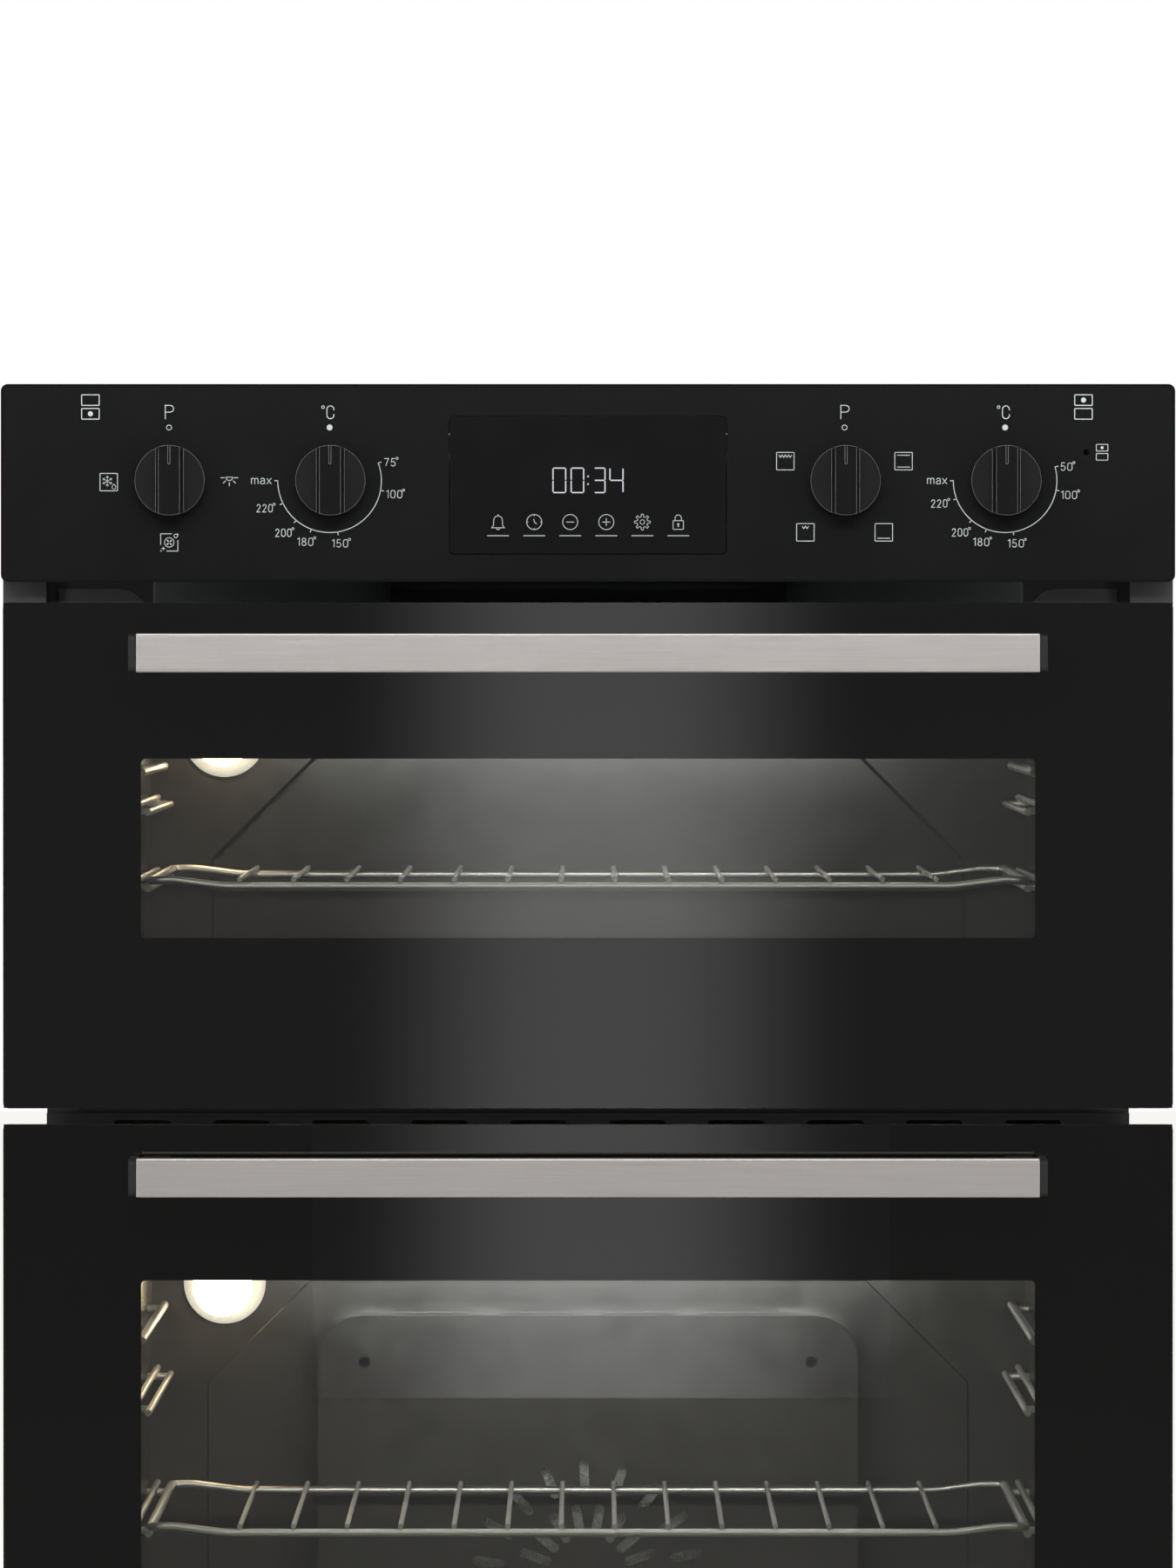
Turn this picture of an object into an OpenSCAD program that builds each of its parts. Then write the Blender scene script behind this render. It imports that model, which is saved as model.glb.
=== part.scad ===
// Built-in double wall oven: a steel body with two enamelled cavities, two drop-down
// glass doors, a control panel with four knobs, and the heaters, fans, lamps and shelves.
// Millimetres. +Z is up, the front faces -Y, and the origin is the centre of the base.

/* [Overall] */
// Width across the control panel
oven_w = 594; // [590:1:598]
// Overall height
oven_h = 888; // [884:1:894]
// Depth from the cabinet face to the rearmost part
body_d = 543; // [540:1:550]
// Width of the body that enters the cabinet, without its pressed beads
body_w = 550; // [546:1:552]
// Height of the body behind the control panel
body_h = 870; // [866:1:874]
// Thickness of the outer steel sheet
sheet = 1; // [0.8:0.1:1.2]

/* [Control panel] */
// Height of the control panel
panel_h = 100; // [98:1:102]
// Distance from the centre line to each inner knob
knob_inner_x = 130.1; // [128:0.1:133]
// Distance from the centre line to each outer knob
knob_outer_x = 211.3; // [209:0.1:214]
// Radius of a knob
knob_r = 17.6; // [16:0.1:18.5]
// How far a knob stands out of the panel
knob_reach = 21; // [18:1:24]
// Width of the display window
display_w = 139.8; // [136:0.1:142]
// Height of the display window
display_h = 69.4; // [66:0.1:71]

/* [Doors] */
// Width of a door
door_w = 592; // [590:1:593]
// Height of the top door
top_door_h = 256; // [254:1:258]
// Gap between the control panel and the top door
panel_gap = 10.5; // [9:0.5:11]
// Gap between the two doors
door_gap = 8; // [8:0.5:9]
// How far the doors' outer glass stands in front of the cabinet face
door_front = 24; // [24:0.5:26]
// Thickness of each glass
glass_t = 4; // [3:0.5:4]
// Length of a handle's bar
handle_w = 454.4; // [440:0.1:460]
// Height of a handle's bar
handle_h = 19.8; // [18:0.1:22]
// How far a handle stands in front of the glass
handle_reach = 43; // [40:1:46]

/* [Cavities] */
// Inner width of both cavities
cavity_w = 472; // [470:1:474]
// Inner height of the top cavity
top_cavity_h = 184; // [180:1:186]
// Inner height of the main cavity
main_cavity_h = 382; // [378:1:384]
// Corner radius of the cavities
cavity_r = 14; // [10:1:18]
// Spacing of the cross wires in a shelf
wire_pitch = 27.3; // [26:0.1:27.6]

/* [Hidden] */
$fn = 48;

// Clearance between solids that are welded or screwed together
weld = 0.02;
// Radial clearance of a shaft that turns in a hole
running = 0.06;
// Clearance between bodies that rest on each other
rest = 0.3;

cab_y = -body_d / 2;      // the cabinet face
half_w = body_w / 2;      // outer face of a side panel
inner_w = half_w - sheet; // inner face of a side panel
rear_y = cab_y + 521.5;   // outer face of the rear panel

// Distances in front of the cabinet face
frame_f = -8;             // front face of the front frame
frame_t = 1.2;
frame_y = cab_y - frame_f + frame_t;
inner_glass_f = -2;
profile_f = inner_glass_f + glass_t;
glass_f = door_front - glass_t;
pivot_f = 10;
pivot_up = 14;            // hinge axis above a door's lower edge
pivot_y = cab_y - pivot_f;

panel_z = oven_h - panel_h;
top_door_z = panel_z - panel_gap - top_door_h;
strip_top = 20;
main_door_z = strip_top + 7.5;
main_door_h = top_door_z - door_gap - main_door_z;
top_hinge_z = top_door_z + pivot_up;
main_hinge_z = main_door_z + pivot_up;
door_zs = [[top_door_z, top_door_h], [main_door_z, main_door_h]];

top_cavity_z = top_hinge_z + 24.5;
main_cavity_z = main_hinge_z + 24.5;
cavity_back = cab_y + 416.5;
cavity_t = 1;
cavities = [[top_cavity_z, top_cavity_h], [main_cavity_z, main_cavity_h]];

fan_z = main_cavity_z + 190;
lamp_r = 22;
lamp_x = -196;
top_lamp_z = top_cavity_z + 147;
main_lamp_z = main_cavity_z + 346;
lamp_zs = [top_lamp_z, main_lamp_z];
grill_z = top_cavity_z + 168;
heater_r = 3.25;
ring_r = 95;
duct_z = panel_z - 12;
blower_y = cab_y + 341.5;
blower_z = duct_z + 46;
impeller_r = 30;
impeller_l = 200;

hinge_x = 256;            // centre of a hinge, left and right
arm_t = 6;
channel_w = 13;
hinge_pin_r = 3;

support_x = 228;          // middle of a pair of shelf runners
support_r = 1.75;
runner_x = support_x - 2 * support_r - weld;
guard_x = support_x + 2 * support_r + weld;
support_front = cab_y + 37;
support_back = cab_y + 389.5;
top_levels = [for (i = [0:2]) top_cavity_z + 32.7 + 39 * i];
main_levels = [for (i = [0:4]) main_cavity_z + 50 + 62 * i];
shelf_r = 2.25;
shelf_x = runner_x - 1.3;
shelf_front = cab_y + 27;
top_shelf_d = 352;
main_shelf_d = 336;       // short of the fan's baffle
cross_r = 1.3;
cross_n = 14;
edge_rise = 3.4;          // how far a shelf's sides stand above its grid

knob_z = oven_h - 48.9;
display_z = oven_h - 51.2;
spindle_r = 3;
knob_xs = [-knob_outer_x, -knob_inner_x, knob_inner_x, knob_outer_x];

lug_hole_r = 2.25;
lug_hole_x = 284.5;
lug_hole_zs = [70, 760];
gland = [200, cab_y + 532.5, 788]; // mouth of the supply cable's entry
gland_r = 6.5;

// ---- Helpers ----

// Outline of a rounded rectangle about the origin
function round_rect(w, h, r, n = 6) = [
    for (c = [[1, 1, 0], [-1, 1, 90], [-1, -1, 180], [1, -1, 270]], i = [0:n])
        [c[0] * (w / 2 - r) + r * cos(c[2] + 90 * i / n),
         c[1] * (h / 2 - r) + r * sin(c[2] + 90 * i / n)]
];

function unit(v) = v / norm(v);

// A corner at b, from a to c, rounded from a distance d before it to d after it
function corner(a, b, c, d, n = 5) = let (
    p = b + unit(a - b) * d,
    q = b + unit(c - b) * d
) [for (i = [0:n]) let (t = i / n) (1 - t) * (1 - t) * p + 2 * t * (1 - t) * b + t * t * q];

// An open path with its inner corners rounded
function bent(path, d) = [
    path[0],
    for (i = [1:len(path) - 2]) each corner(path[i - 1], path[i], path[i + 1], d),
    path[len(path) - 1]
];

// A closed path with all its corners rounded
function bent_loop(path, d) = let (n = len(path)) [
    for (i = [0:n - 1]) each corner(path[(i + n - 1) % n], path[i], path[(i + 1) % n], d)
];

function along(path, i, closed) = let (
    n = len(path),
    before = closed ? path[(i + n - 1) % n] : path[max(i - 1, 0)],
    after = closed ? path[(i + 1) % n] : path[min(i + 1, n - 1)]
) unit(after - before);

function tube_ring(p, t, up, r, sides) = let (s = unit(cross(t, up)), u = cross(s, t))
    [for (j = [0:sides - 1]) p + r * (cos(360 * j / sides) * s + sin(360 * j / sides) * u)];

// A bent wire or tube along a path that never runs along up
module tube(path, r, up = [0, 0, 1], sides = 10, closed = false, halves = false) {
    n = len(path);
    points = [for (i = [0:n - 1]) each tube_ring(path[i], along(path, i, closed), up, r, sides)];
    walls = [
        for (i = [0:(closed ? n : n - 1) - 1], j = [0:sides - 1])
            [i * sides + j, i * sides + (j + 1) % sides,
             (i + 1) % n * sides + (j + 1) % sides, (i + 1) % n * sides + j]
    ];
    ends = closed ? [] : [
        [for (j = [sides - 1:-1:0]) j],
        [for (j = [0:sides - 1]) (n - 1) * sides + j]
    ];
    // a helix's four-sided faces aren't flat, so they're drawn as pairs of triangles
    split = [for (w = walls) each halves ? [[w[0], w[1], w[2]], [w[0], w[2], w[3]]] : [w]];
    polyhedron(points, concat(split, ends));
}

module slab(x, y, z) {
    translate([x[0], y[0], z[0]]) cube([x[1] - x[0], y[1] - y[0], z[1] - z[0]]);
}

// Extrudes an outline drawn in X and Z between two distances in front of the cabinet face
module facing(f0, f1) {
    translate([0, cab_y - f0, 0]) rotate([90, 0, 0]) linear_extrude(f1 - f0) children();
}

// Extrudes an outline drawn in X and Z from y0 back to y1
module deep(y0, y1) {
    translate([0, y1, 0]) rotate([90, 0, 0]) linear_extrude(y1 - y0) children();
}

// Extrudes an outline drawn in Y and Z from x0 to x1
module sideways(x0, x1) {
    translate([x0, 0, 0]) rotate([90, 0, 90]) linear_extrude(x1 - x0) children();
}

module rod_x(y, z, x0, x1, r) {
    translate([x0, y, z]) rotate([0, 90, 0]) cylinder(r = r, h = x1 - x0);
}

module rod_y(x, z, y0, y1, r) {
    translate([x, y0, z]) rotate([-90, 0, 0]) cylinder(r = r, h = y1 - y0);
}

module both_sides() {
    children();
    mirror([1, 0, 0]) children();
}

// A slot with round ends, in an outline
module slot(x, z, w, h) {
    r = min(w, h) / 2;
    reach = [w / 2 - r, h / 2 - r];
    translate([x, z]) {
        square([w > h ? 2 * reach[0] : w, w > h ? h : 2 * reach[1]], center = true);
        for (s = [-1, 1]) translate(s * reach) circle(r, $fn = 24);
    }
}

module cavity_outline(z, h, grow = 0) {
    translate([0, z + h / 2])
        polygon(round_rect(cavity_w + 2 * grow, h + 2 * grow, cavity_r + grow));
}

// ---- Body ----

module base_tray() {
    lip = 24;
    color("silver") difference() {
        slab([-inner_w, inner_w], [frame_y, rear_y - sheet], [0, lip]);
        slab([sheet - inner_w, inner_w - sheet], [frame_y + sheet, rear_y - 2 * sheet], [sheet, lip + 1]);
        for (x = [-180:60:180], y = [-150, 120])
            translate([0, 0, -1]) linear_extrude(3) slot(x, y, 8, 70);
    }
    color("silver") for (x = [-210:60:210])
        slab([x - 5, x + 5], [-225, 215], [sheet + weld, 3]);
}

module side_panel() {
    color("silver") difference() {
        union() {
            slab([inner_w, half_w], [frame_y, rear_y], [0, body_h]);
            for (z = [200, 430, 660]) sideways(half_w - 0.2, half_w + 1) slot(10, z, 400, 16);
            for (y = [-150, 170]) sideways(half_w - 0.2, half_w + 1) slot(y, 315, 12, 180);
        }
        for (i = [0:15], z = [60, 825]) sideways(inner_w - 1, half_w + 2)
            slot(-20 + 10 * i, z, 3.4, 36);
    }
}

module rear_panel() {
    color("silver") difference() {
        deep(rear_y - sheet, rear_y) difference() {
            translate([0, body_h / 2]) square([2 * inner_w, body_h], center = true);
            for (x = [-200:50:0], z = [640:14:740]) slot(x, z, 38, 5);
            for (x = [-150:75:150], z = [40:16:110]) slot(x, z, 50, 5);
            translate([gland[0], 825]) square([86, 56], center = true);
        }
        for (a = [0:20:340])
            translate([0, 0, fan_z]) rotate([0, a, 0]) translate([0, 0, -fan_z])
                deep(rear_y - 3, rear_y + 3) slot(0, fan_z + 50, 5, 26);
    }
    color("silver") for (z = [200, 570]) deep(rear_y + weld, rear_y + 2) slot(0, z, 440, 12);
}

module top_cover() {
    color("silver") difference() {
        union() {
            slab([-inner_w, inner_w], [cab_y - 1.5, rear_y - sheet], [body_h - sheet, body_h]);
            slab([-inner_w, inner_w], [cab_y - 1.5, cab_y - 0.5], [body_h - 0.2, body_h + 10]);
        }
        translate([0, 0, body_h - 3]) linear_extrude(6) {
            for (x = [-96:12:96]) slot(x, blower_y + 15, 5, 62);
            for (x = [-230, 230], y = [-120:12:-24]) slot(x, y, 46, 4);
        }
    }
    color("silver") for (x = [-150, 150], y = [-120, 190])
        translate([0, 0, body_h + weld]) linear_extrude(1.5) slot(x, y, 150, 14);
}

module front_frame() {
    outlet_x = 221;
    outlet_z = duct_z + 1.5;
    seam_z = outlet_z - 14.5; // behind the top of the upper door
    color("#232323") difference() {
        union() {
            facing(frame_f - frame_t, frame_f) difference() {
                union() {
                    translate([0, (strip_top + seam_z) / 2]) square([body_w, seam_z - strip_top], center = true);
                    translate([0, (seam_z + outlet_z) / 2 - 1]) square([2 * outlet_x, outlet_z - seam_z + 2], center = true);
                }
                for (c = cavities) cavity_outline(c[0], c[1]);
            }
            // rail between the doors, a step nearer
            facing(frame_f - 0.2, frame_f + 6) translate([0, top_door_z - 8.4])
                square([body_w, 10.4], center = true);
        }
        for (d = door_zs) both_sides() facing(frame_f - 3, frame_f + 4)
            translate([hinge_x, d[0] + pivot_up]) square([arm_t + 4, 22], center = true);
        // vents between the doors
        for (x = [-226.5:50.3:226.5]) facing(frame_f - 3, frame_f + 7) slot(x, top_door_z - 9, 29, 4.4);
    }
    // corners beside the air outlet, each with a pressed pad
    color("#232323") both_sides() {
        facing(frame_f - frame_t, frame_f) translate([outlet_x + weld, seam_z + weld])
            square([half_w - outlet_x - weld, 795 - seam_z - weld]);
        facing(frame_f - 0.2, frame_f + 1) translate([247.5, panel_z - 13.5])
            polygon(concat([[21.4, -10], [21.4, 10]],
                [for (i = [0:6]) [-9.5 - 14 * sin(15 * i), -4 + 14 * cos(15 * i)]], [[-23.5, -10]]));
    }
}

module lug(z0, z1, hole_z) {
    difference() {
        union() {
            facing(0, 1.5) translate([half_w, z0]) square([21.9, z1 - z0]);
            slab([half_w, half_w + 1.5], [cab_y - 0.2, cab_y + 40], [z0, z1]);
        }
        rod_y(lug_hole_x, hole_z, cab_y - 5, cab_y + 5, lug_hole_r);
    }
}

module mounting_lugs() {
    color("#3a3a3a") both_sides() {
        lug(36, 112, lug_hole_zs[0]);
        lug(700, 866, lug_hole_zs[1]);
    }
}

module bottom_strip() {
    front = door_front - 0.5;
    color("#202020") difference() {
        facing(frame_f - frame_t, front) translate([0, strip_top / 2 + 1])
            square([door_w, strip_top - 2], center = true);
        facing(frame_f - 5, front - 1.5) translate([0, strip_top / 2 + 1])
            square([door_w - 3, strip_top - 5], center = true);
        for (x = [-220:40:220]) facing(front - 4, front + 1) slot(x, strip_top / 2 + 1, 28, 4);
    }
}

// One oven's enamelled box: the first child is what stands off its back wall, the others are cut out
module cavity(z, h) {
    difference() {
        union() {
            deep(frame_y, cavity_back + cavity_t) cavity_outline(z, h, cavity_t);
            deep(frame_y, frame_y + 1) cavity_outline(z, h, 9);
        }
        difference() {
            deep(frame_y - 1, cavity_back) cavity_outline(z, h);
            children(0);
        }
        children([1:$children - 1]);
    }
}

module top_cavity() {
    rise = top_cavity_h - 15 - 79;
    sunk = [[-200, top_cavity_z + 20], [200, top_cavity_z + 20], [200, top_cavity_z + 79],
            [200 - rise, top_cavity_z + 79 + rise], [rise - 200, top_cavity_z + 79 + rise], [-200, top_cavity_z + 79]];
    color("#3f3c39") cavity(top_cavity_z, top_cavity_h) {
        // the back wall's border stands forward, with a sloped step down to its middle, and is flat at the lamp
        difference() {
            deep(cavity_back - 2, cavity_back + 1) cavity_outline(top_cavity_z, top_cavity_h, 1);
            hull() {
                deep(cavity_back - 3, cavity_back - 2) offset(delta = 3.6) polygon(sunk);
                deep(cavity_back, cavity_back + 2) polygon(sunk);
            }
            rod_y(lamp_x, top_lamp_z, cavity_back - 3, cavity_back + 2, lamp_r + 3);
        }
        rod_y(lamp_x, top_lamp_z, cavity_back - 5, cavity_back + 5, 17);
        for (x = [-170, -90, 90, 170]) rod_y(x, grill_z, cavity_back - 5, cavity_back + 5, 5);
    }
}

module main_cavity() {
    top = main_cavity_z + main_cavity_h;
    color("#3f3c39") cavity(main_cavity_z, main_cavity_h) {
        // pressed stiffening panel in the back wall
        deep(cavity_back - 2, cavity_back + 1) polygon([[-205, main_cavity_z + 18], [205, main_cavity_z + 18],
            [205, top - 90], [150, top - 35], [-150, top - 35], [-205, top - 90]]);
        rod_y(lamp_x, main_lamp_z, cavity_back - 5, cavity_back + 5, 17);
        rod_y(0, fan_z, cavity_back - 5, cavity_back + 5, 8);
        for (x = [-15, 15]) rod_y(x, fan_z - ring_r, cavity_back - 5, cavity_back + 5, 5);
    }
}

// Glass wool blankets round the cavities, cut where heaters, lamps and the motor pass
module insulation() {
    front = cab_y + 50;
    back = cavity_back + 26;
    cover = 24;
    color("khaki") difference() {
        union() {
            deep(front, back) translate([0, top_cavity_z + top_cavity_h / 2 - 5])
                square([cavity_w + 2 * cover, top_cavity_h + 2 * cover + 10], center = true);
        }
        deep(front - 1, cavity_back + cavity_t + weld) cavity_outline(top_cavity_z, top_cavity_h, cavity_t + weld);
        slab([-210, 210], [front - 1, cavity_back + 30], [top_cavity_z - 11, top_cavity_z]);
        for (x = [-170, -90, 90, 170]) rod_y(x, grill_z, cavity_back - 5, back + 5, 7);
        rod_y(lamp_x, top_lamp_z, cavity_back - 5, back + 5, 22);
    }
    color("khaki") difference() {
        deep(front, back) translate([0, main_cavity_z + main_cavity_h / 2])
            square([cavity_w + 2 * cover, main_cavity_h + 2 * cover], center = true);
        deep(front - 1, cavity_back + cavity_t + weld) cavity_outline(main_cavity_z, main_cavity_h, cavity_t + weld);
        rod_y(lamp_x, main_lamp_z, cavity_back - 5, back + 5, 22);
        rod_y(0, fan_z, cavity_back - 5, back + 5, 40);
        for (x = [-15, 15]) rod_y(x, fan_z - ring_r, cavity_back - 5, back + 5, 7);
    }
}

module door_seals() {
    seal_r = 2.8;
    color("#4a4a48") for (c = cavities) {
        x = cavity_w / 2 + 6;
        y = cab_y - frame_f - seal_r;
        low = c[0] - 6;
        high = c[0] + c[1] + 6;
        tube(bent_loop([[-x, y, low], [x, y, low], [x, y, high], [-x, y, high]], 24),
            seal_r - weld, up = [0, 1, 0], closed = true);
    }
}

// Strips, receivers and arms that carry the doors
module hinge_receivers() {
    back = cab_y + 42;
    color("silver") for (d = door_zs) both_sides() {
        z = d[0] + pivot_up;
        difference() {
            slab([hinge_x - 6.5, hinge_x + 6.5], [frame_y, back], [z - 15, z + 15]);
            slab([hinge_x - 5, hinge_x + 5], [frame_y - 1, back - 1.5], [z - 16, z + 16]);
        }
        rod_x(cab_y + 26, z - 9, hinge_x - 5 + weld, hinge_x + 5 - weld, 3);
    }
}

module hinge_arms() {
    color("silver") for (d = door_zs) both_sides() {
        z = d[0] + pivot_up;
        difference() {
            sideways(hinge_x - arm_t / 2, hinge_x + arm_t / 2) union() {
                translate([pivot_y, z]) circle(6);
                polygon([[pivot_y, z - 6], [cab_y + 34, z - 6], [cab_y + 38, z], [cab_y + 34, z + 6],
                         [pivot_y, z + 6]]);
                polygon([[pivot_y - 4, z], [pivot_y - 3, z + 16], [pivot_y + 3, z + 16], [pivot_y + 4, z]]);
            }
            rod_x(pivot_y, z, hinge_x - 9, hinge_x + 9, hinge_pin_r + running);
            // notch that hangs on the receiver's pin
            sideways(hinge_x - 9, hinge_x + 9) translate([cab_y + 26, z - 9]) circle(3.2);
        }
    }
}

module screw_head(r = 3.6, h = 0.9) {
    difference() {
        cylinder(r = r, h = h);
        for (a = [0, 90]) rotate([0, 0, a]) translate([-1.8, -0.4, h - 0.5]) cube([3.6, 0.8, 1]);
    }
}

module body_screws() {
    color("#9a9a9a") {
        both_sides() for (z = [140, 290, 520, 610], y = [frame_y + 60, rear_y - 10])
            translate([half_w + weld, y, z]) rotate([0, 90, 0]) screw_head();
        both_sides() for (z = [20, 300, 480, 845])
            translate([inner_w - 8, rear_y + weld, z]) rotate([-90, 0, 0]) screw_head();
        both_sides() for (y = [-230, 235])
            translate([inner_w - 8, y, body_h + weld]) screw_head();
    }
}

// ---- Heating and air ----

module grill_element() {
    back = cavity_back + 20;
    front = cab_y + 48;
    outer = [[-170, back, grill_z], [-170, front, grill_z], [170, front, grill_z], [170, back, grill_z]];
    inner = [[-90, back, grill_z], [-90, front + 40, grill_z], [-32, front + 40, grill_z],
             [-32, cavity_back - 50, grill_z], [32, cavity_back - 50, grill_z],
             [32, front + 40, grill_z], [90, front + 40, grill_z], [90, back, grill_z]];
    color("#4d4b48") {
        tube(bent(outer, 30), heater_r);
        tube(bent(inner, 22), heater_r);
    }
}

module base_element() {
    back = cavity_back + 20;
    front = cab_y + 70;
    z = top_cavity_z - cavity_t - heater_r - 1;
    path = [[-40, back, z], [-40, cavity_back - 60, z], [-180, cavity_back - 60, z], [-180, front, z],
            [180, front, z], [180, cavity_back - 60, z], [40, cavity_back - 60, z], [40, back, z]];
    color("#4d4b48") tube(bent(path, 26), heater_r);
}

module ring_element() {
    y = cavity_back - 17;
    color("#4d4b48") translate([0, y, fan_z]) {
        rotate([90, 0, 0]) rotate([0, 0, -81]) rotate_extrude(angle = 342) translate([ring_r, 0]) circle(heater_r);
        for (x = [-15, 15]) translate([x, 0, -ring_r * cos(9)]) rotate([-90, 0, 0])
            cylinder(r = heater_r - 0.3, h = 36);
    }
}

module fan_baffle() {
    front = cavity_back - 38;
    color("#3f3c39") difference() {
        deep(front, cavity_back - 2) translate([0, fan_z]) polygon(round_rect(290, 280, 24));
        deep(front + 1, cavity_back + 1) translate([0, fan_z]) polygon(round_rect(288, 278, 23));
        // intake slots in the middle
        for (a = [0:20:340], r = [[30, 18], [54, 18]])
            translate([0, 0, fan_z]) rotate([0, a + r[0] / 3, 0]) translate([0, 0, -fan_z])
                deep(front - 2, front + 3) slot(0, fan_z + r[0], 5, r[1]);
        // outlet slots in the rim
        for (z = [fan_z - 84, fan_z - 28, fan_z + 28, fan_z + 84]) slab([-160, 160], [front + 12, front + 26], [z - 20, z + 20]);
        for (x = [-84, -28, 28, 84]) slab([x - 20, x + 20], [front + 12, front + 26], [fan_z - 160, fan_z + 160]);
        for (x = [-120, 120], z = [-115, 115]) rod_y(x, fan_z + z, front - 2, front + 3, 3);
    }
}

module fan_motor() {
    color("#8d8d90") difference() {
        union() {
            rod_y(0, fan_z, cavity_back + 32, cavity_back + 92, 31);
            rod_y(0, fan_z, cavity_back + 6, cavity_back + 33, 9);
            deep(cavity_back + 27, cavity_back + 30) translate([0, fan_z]) polygon(round_rect(120, 34, 8));
        }
        rod_y(0, fan_z, cavity_back, cavity_back + 60, spindle_r + running);
        for (x = [-50, 50]) rod_y(x, fan_z, cavity_back + 20, cavity_back + 40, 3);
    }
}

module convection_fan() {
    disc_y = cavity_back - 27;
    color("silver") {
        rod_y(0, fan_z, disc_y, disc_y + 1.2, 70);
        difference() {
            rod_y(0, fan_z, disc_y - 4, disc_y + 22, 8);
            rod_y(0, fan_z, disc_y - 2, disc_y + 23, spindle_r + weld);
        }
        for (a = [0:36:324]) translate([0, 0, fan_z]) rotate([0, a, 0])
            slab([-0.6, 0.6], [disc_y + 1, disc_y + 20], [24, 69]);
    }
    color("#8d8d90") rod_y(0, fan_z, disc_y - 2 + weld, cavity_back + 55, spindle_r);
}

module blower_outline(shrink) {
    translate([blower_y, blower_z]) circle(38 - shrink);
    translate([cab_y + 281.5, duct_z + shrink]) square([60 - shrink, 18 - 2 * shrink]);
}

module blower_housing() {
    half = impeller_l / 2 + 5;
    color("silver") difference() {
        sideways(-half - 1, half + 1) blower_outline(0);
        sideways(-half, half) {
            blower_outline(1);
            translate([cab_y + 279, duct_z + 1]) square([4, 16]);
        }
        // intake across the top
        slab([-half + 4, half - 4], [blower_y - 10, blower_y + 45], [blower_z + 12, blower_z + 45]);
        rod_x(blower_y, blower_z, -half - 5, half + 5, spindle_r + running);
    }
}

module air_duct() {
    rear = cab_y + 281.5;
    far = impeller_l / 2 + 6;
    color("silver") difference() {
        translate([0, 0, duct_z]) linear_extrude(18)
            polygon([[-222, frame_y], [222, frame_y], [222, cab_y + 60], [far, rear], [-far, rear], [-222, cab_y + 60]]);
        translate([0, 0, duct_z + 1]) linear_extrude(16)
            polygon([[-221, frame_y - 1], [221, frame_y - 1], [221, cab_y + 60], [far - 1, rear + 1],
                     [1 - far, rear + 1], [-221, cab_y + 60]]);
    }
}

module blower_impeller() {
    half = impeller_l / 2;
    color("silver") {
        for (x = [-half, half - 2]) difference() {
            rod_x(blower_y, blower_z, x, x + 2, impeller_r);
            rod_x(blower_y, blower_z, x - 1, x + 3, spindle_r + weld);
        }
        for (a = [0:18:342]) translate([0, blower_y, blower_z]) rotate([a, 0, 0])
            slab([1 - half, half - 1], [-0.5, 0.5], [impeller_r - 9, impeller_r - 0.5]);
    }
    color("#8d8d90") rod_x(blower_y, blower_z, -half - 9, half + 34, spindle_r);
}

module blower_motor() {
    start = impeller_l / 2 + 7;
    color("#8d8d90") difference() {
        union() {
            rod_x(blower_y, blower_z, start, start + 40, 25);
            slab([start, start + 3], [blower_y - 34, blower_y + 34], [blower_z - 12, blower_z + 12]);
        }
        rod_x(blower_y, blower_z, start - 1, start + 30, spindle_r + running);
    }
}

module lamp_sockets() {
    color("ivory") for (z = lamp_zs) difference() {
        union() {
            rod_y(lamp_x, z, cavity_back + cavity_t + weld, cavity_back + 44, 16.5);
            rod_y(lamp_x, z, cavity_back + cavity_t + weld, cavity_back + 4, 21);
        }
        rod_y(lamp_x, z, cavity_back - 1, cavity_back + 36, 13);
    }
}

module lamp_bulbs() {
    color("lightyellow") for (z = lamp_zs) translate([lamp_x, cavity_back + 36 - weld, z]) rotate([90, 0, 0])
        rotate_extrude() polygon([[0, 0], [6, 0], [6, 12], [10, 20], [11, 28], [9, 37], [5, 42], [0, 44]]);
}

// Screw-in glass covers that stand off the back walls
module lamp_lenses() {
    color("white") for (z = lamp_zs) translate([lamp_x, cavity_back - weld, z]) rotate([90, 0, 0])
        rotate_extrude() polygon([[17, 0], [lamp_r, 0], [lamp_r, 5], [lamp_r - 2, 10], [lamp_r - 6, 14],
            [lamp_r - 12, 17], [0, 18.5], [0, 16.5], [lamp_r - 13, 15], [lamp_r - 7.5, 12], [17, 8]]);
}

// ---- Shelves ----

// Pairs of wire runners on pegs in a side wall, with one stouter wire above them
module support_wires(top_bar, levels) {
    pegs = [support_front + 22, support_back - 30];
    for (z = levels) {
        rod_y(runner_x, z, support_front - 3, support_back + 3, support_r);
        rod_y(guard_x, z + 3.5, support_front - 3, support_back + 3, support_r);
        for (y = pegs) rod_x(y, z + 0.5, runner_x + 1, cavity_w / 2 - weld, 1.9);
    }
    rod_y(support_x, top_bar, support_front - 3, support_back + 3, 2.3);
    for (y = pegs) rod_x(y, top_bar, support_x, cavity_w / 2 - weld, 1.9);
}

module shelf_supports() {
    color("#c9c6bd") both_sides() {
        support_wires(top_cavity_z + 131, top_levels);
        support_wires(main_cavity_z + 335, main_levels);
    }
}

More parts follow.
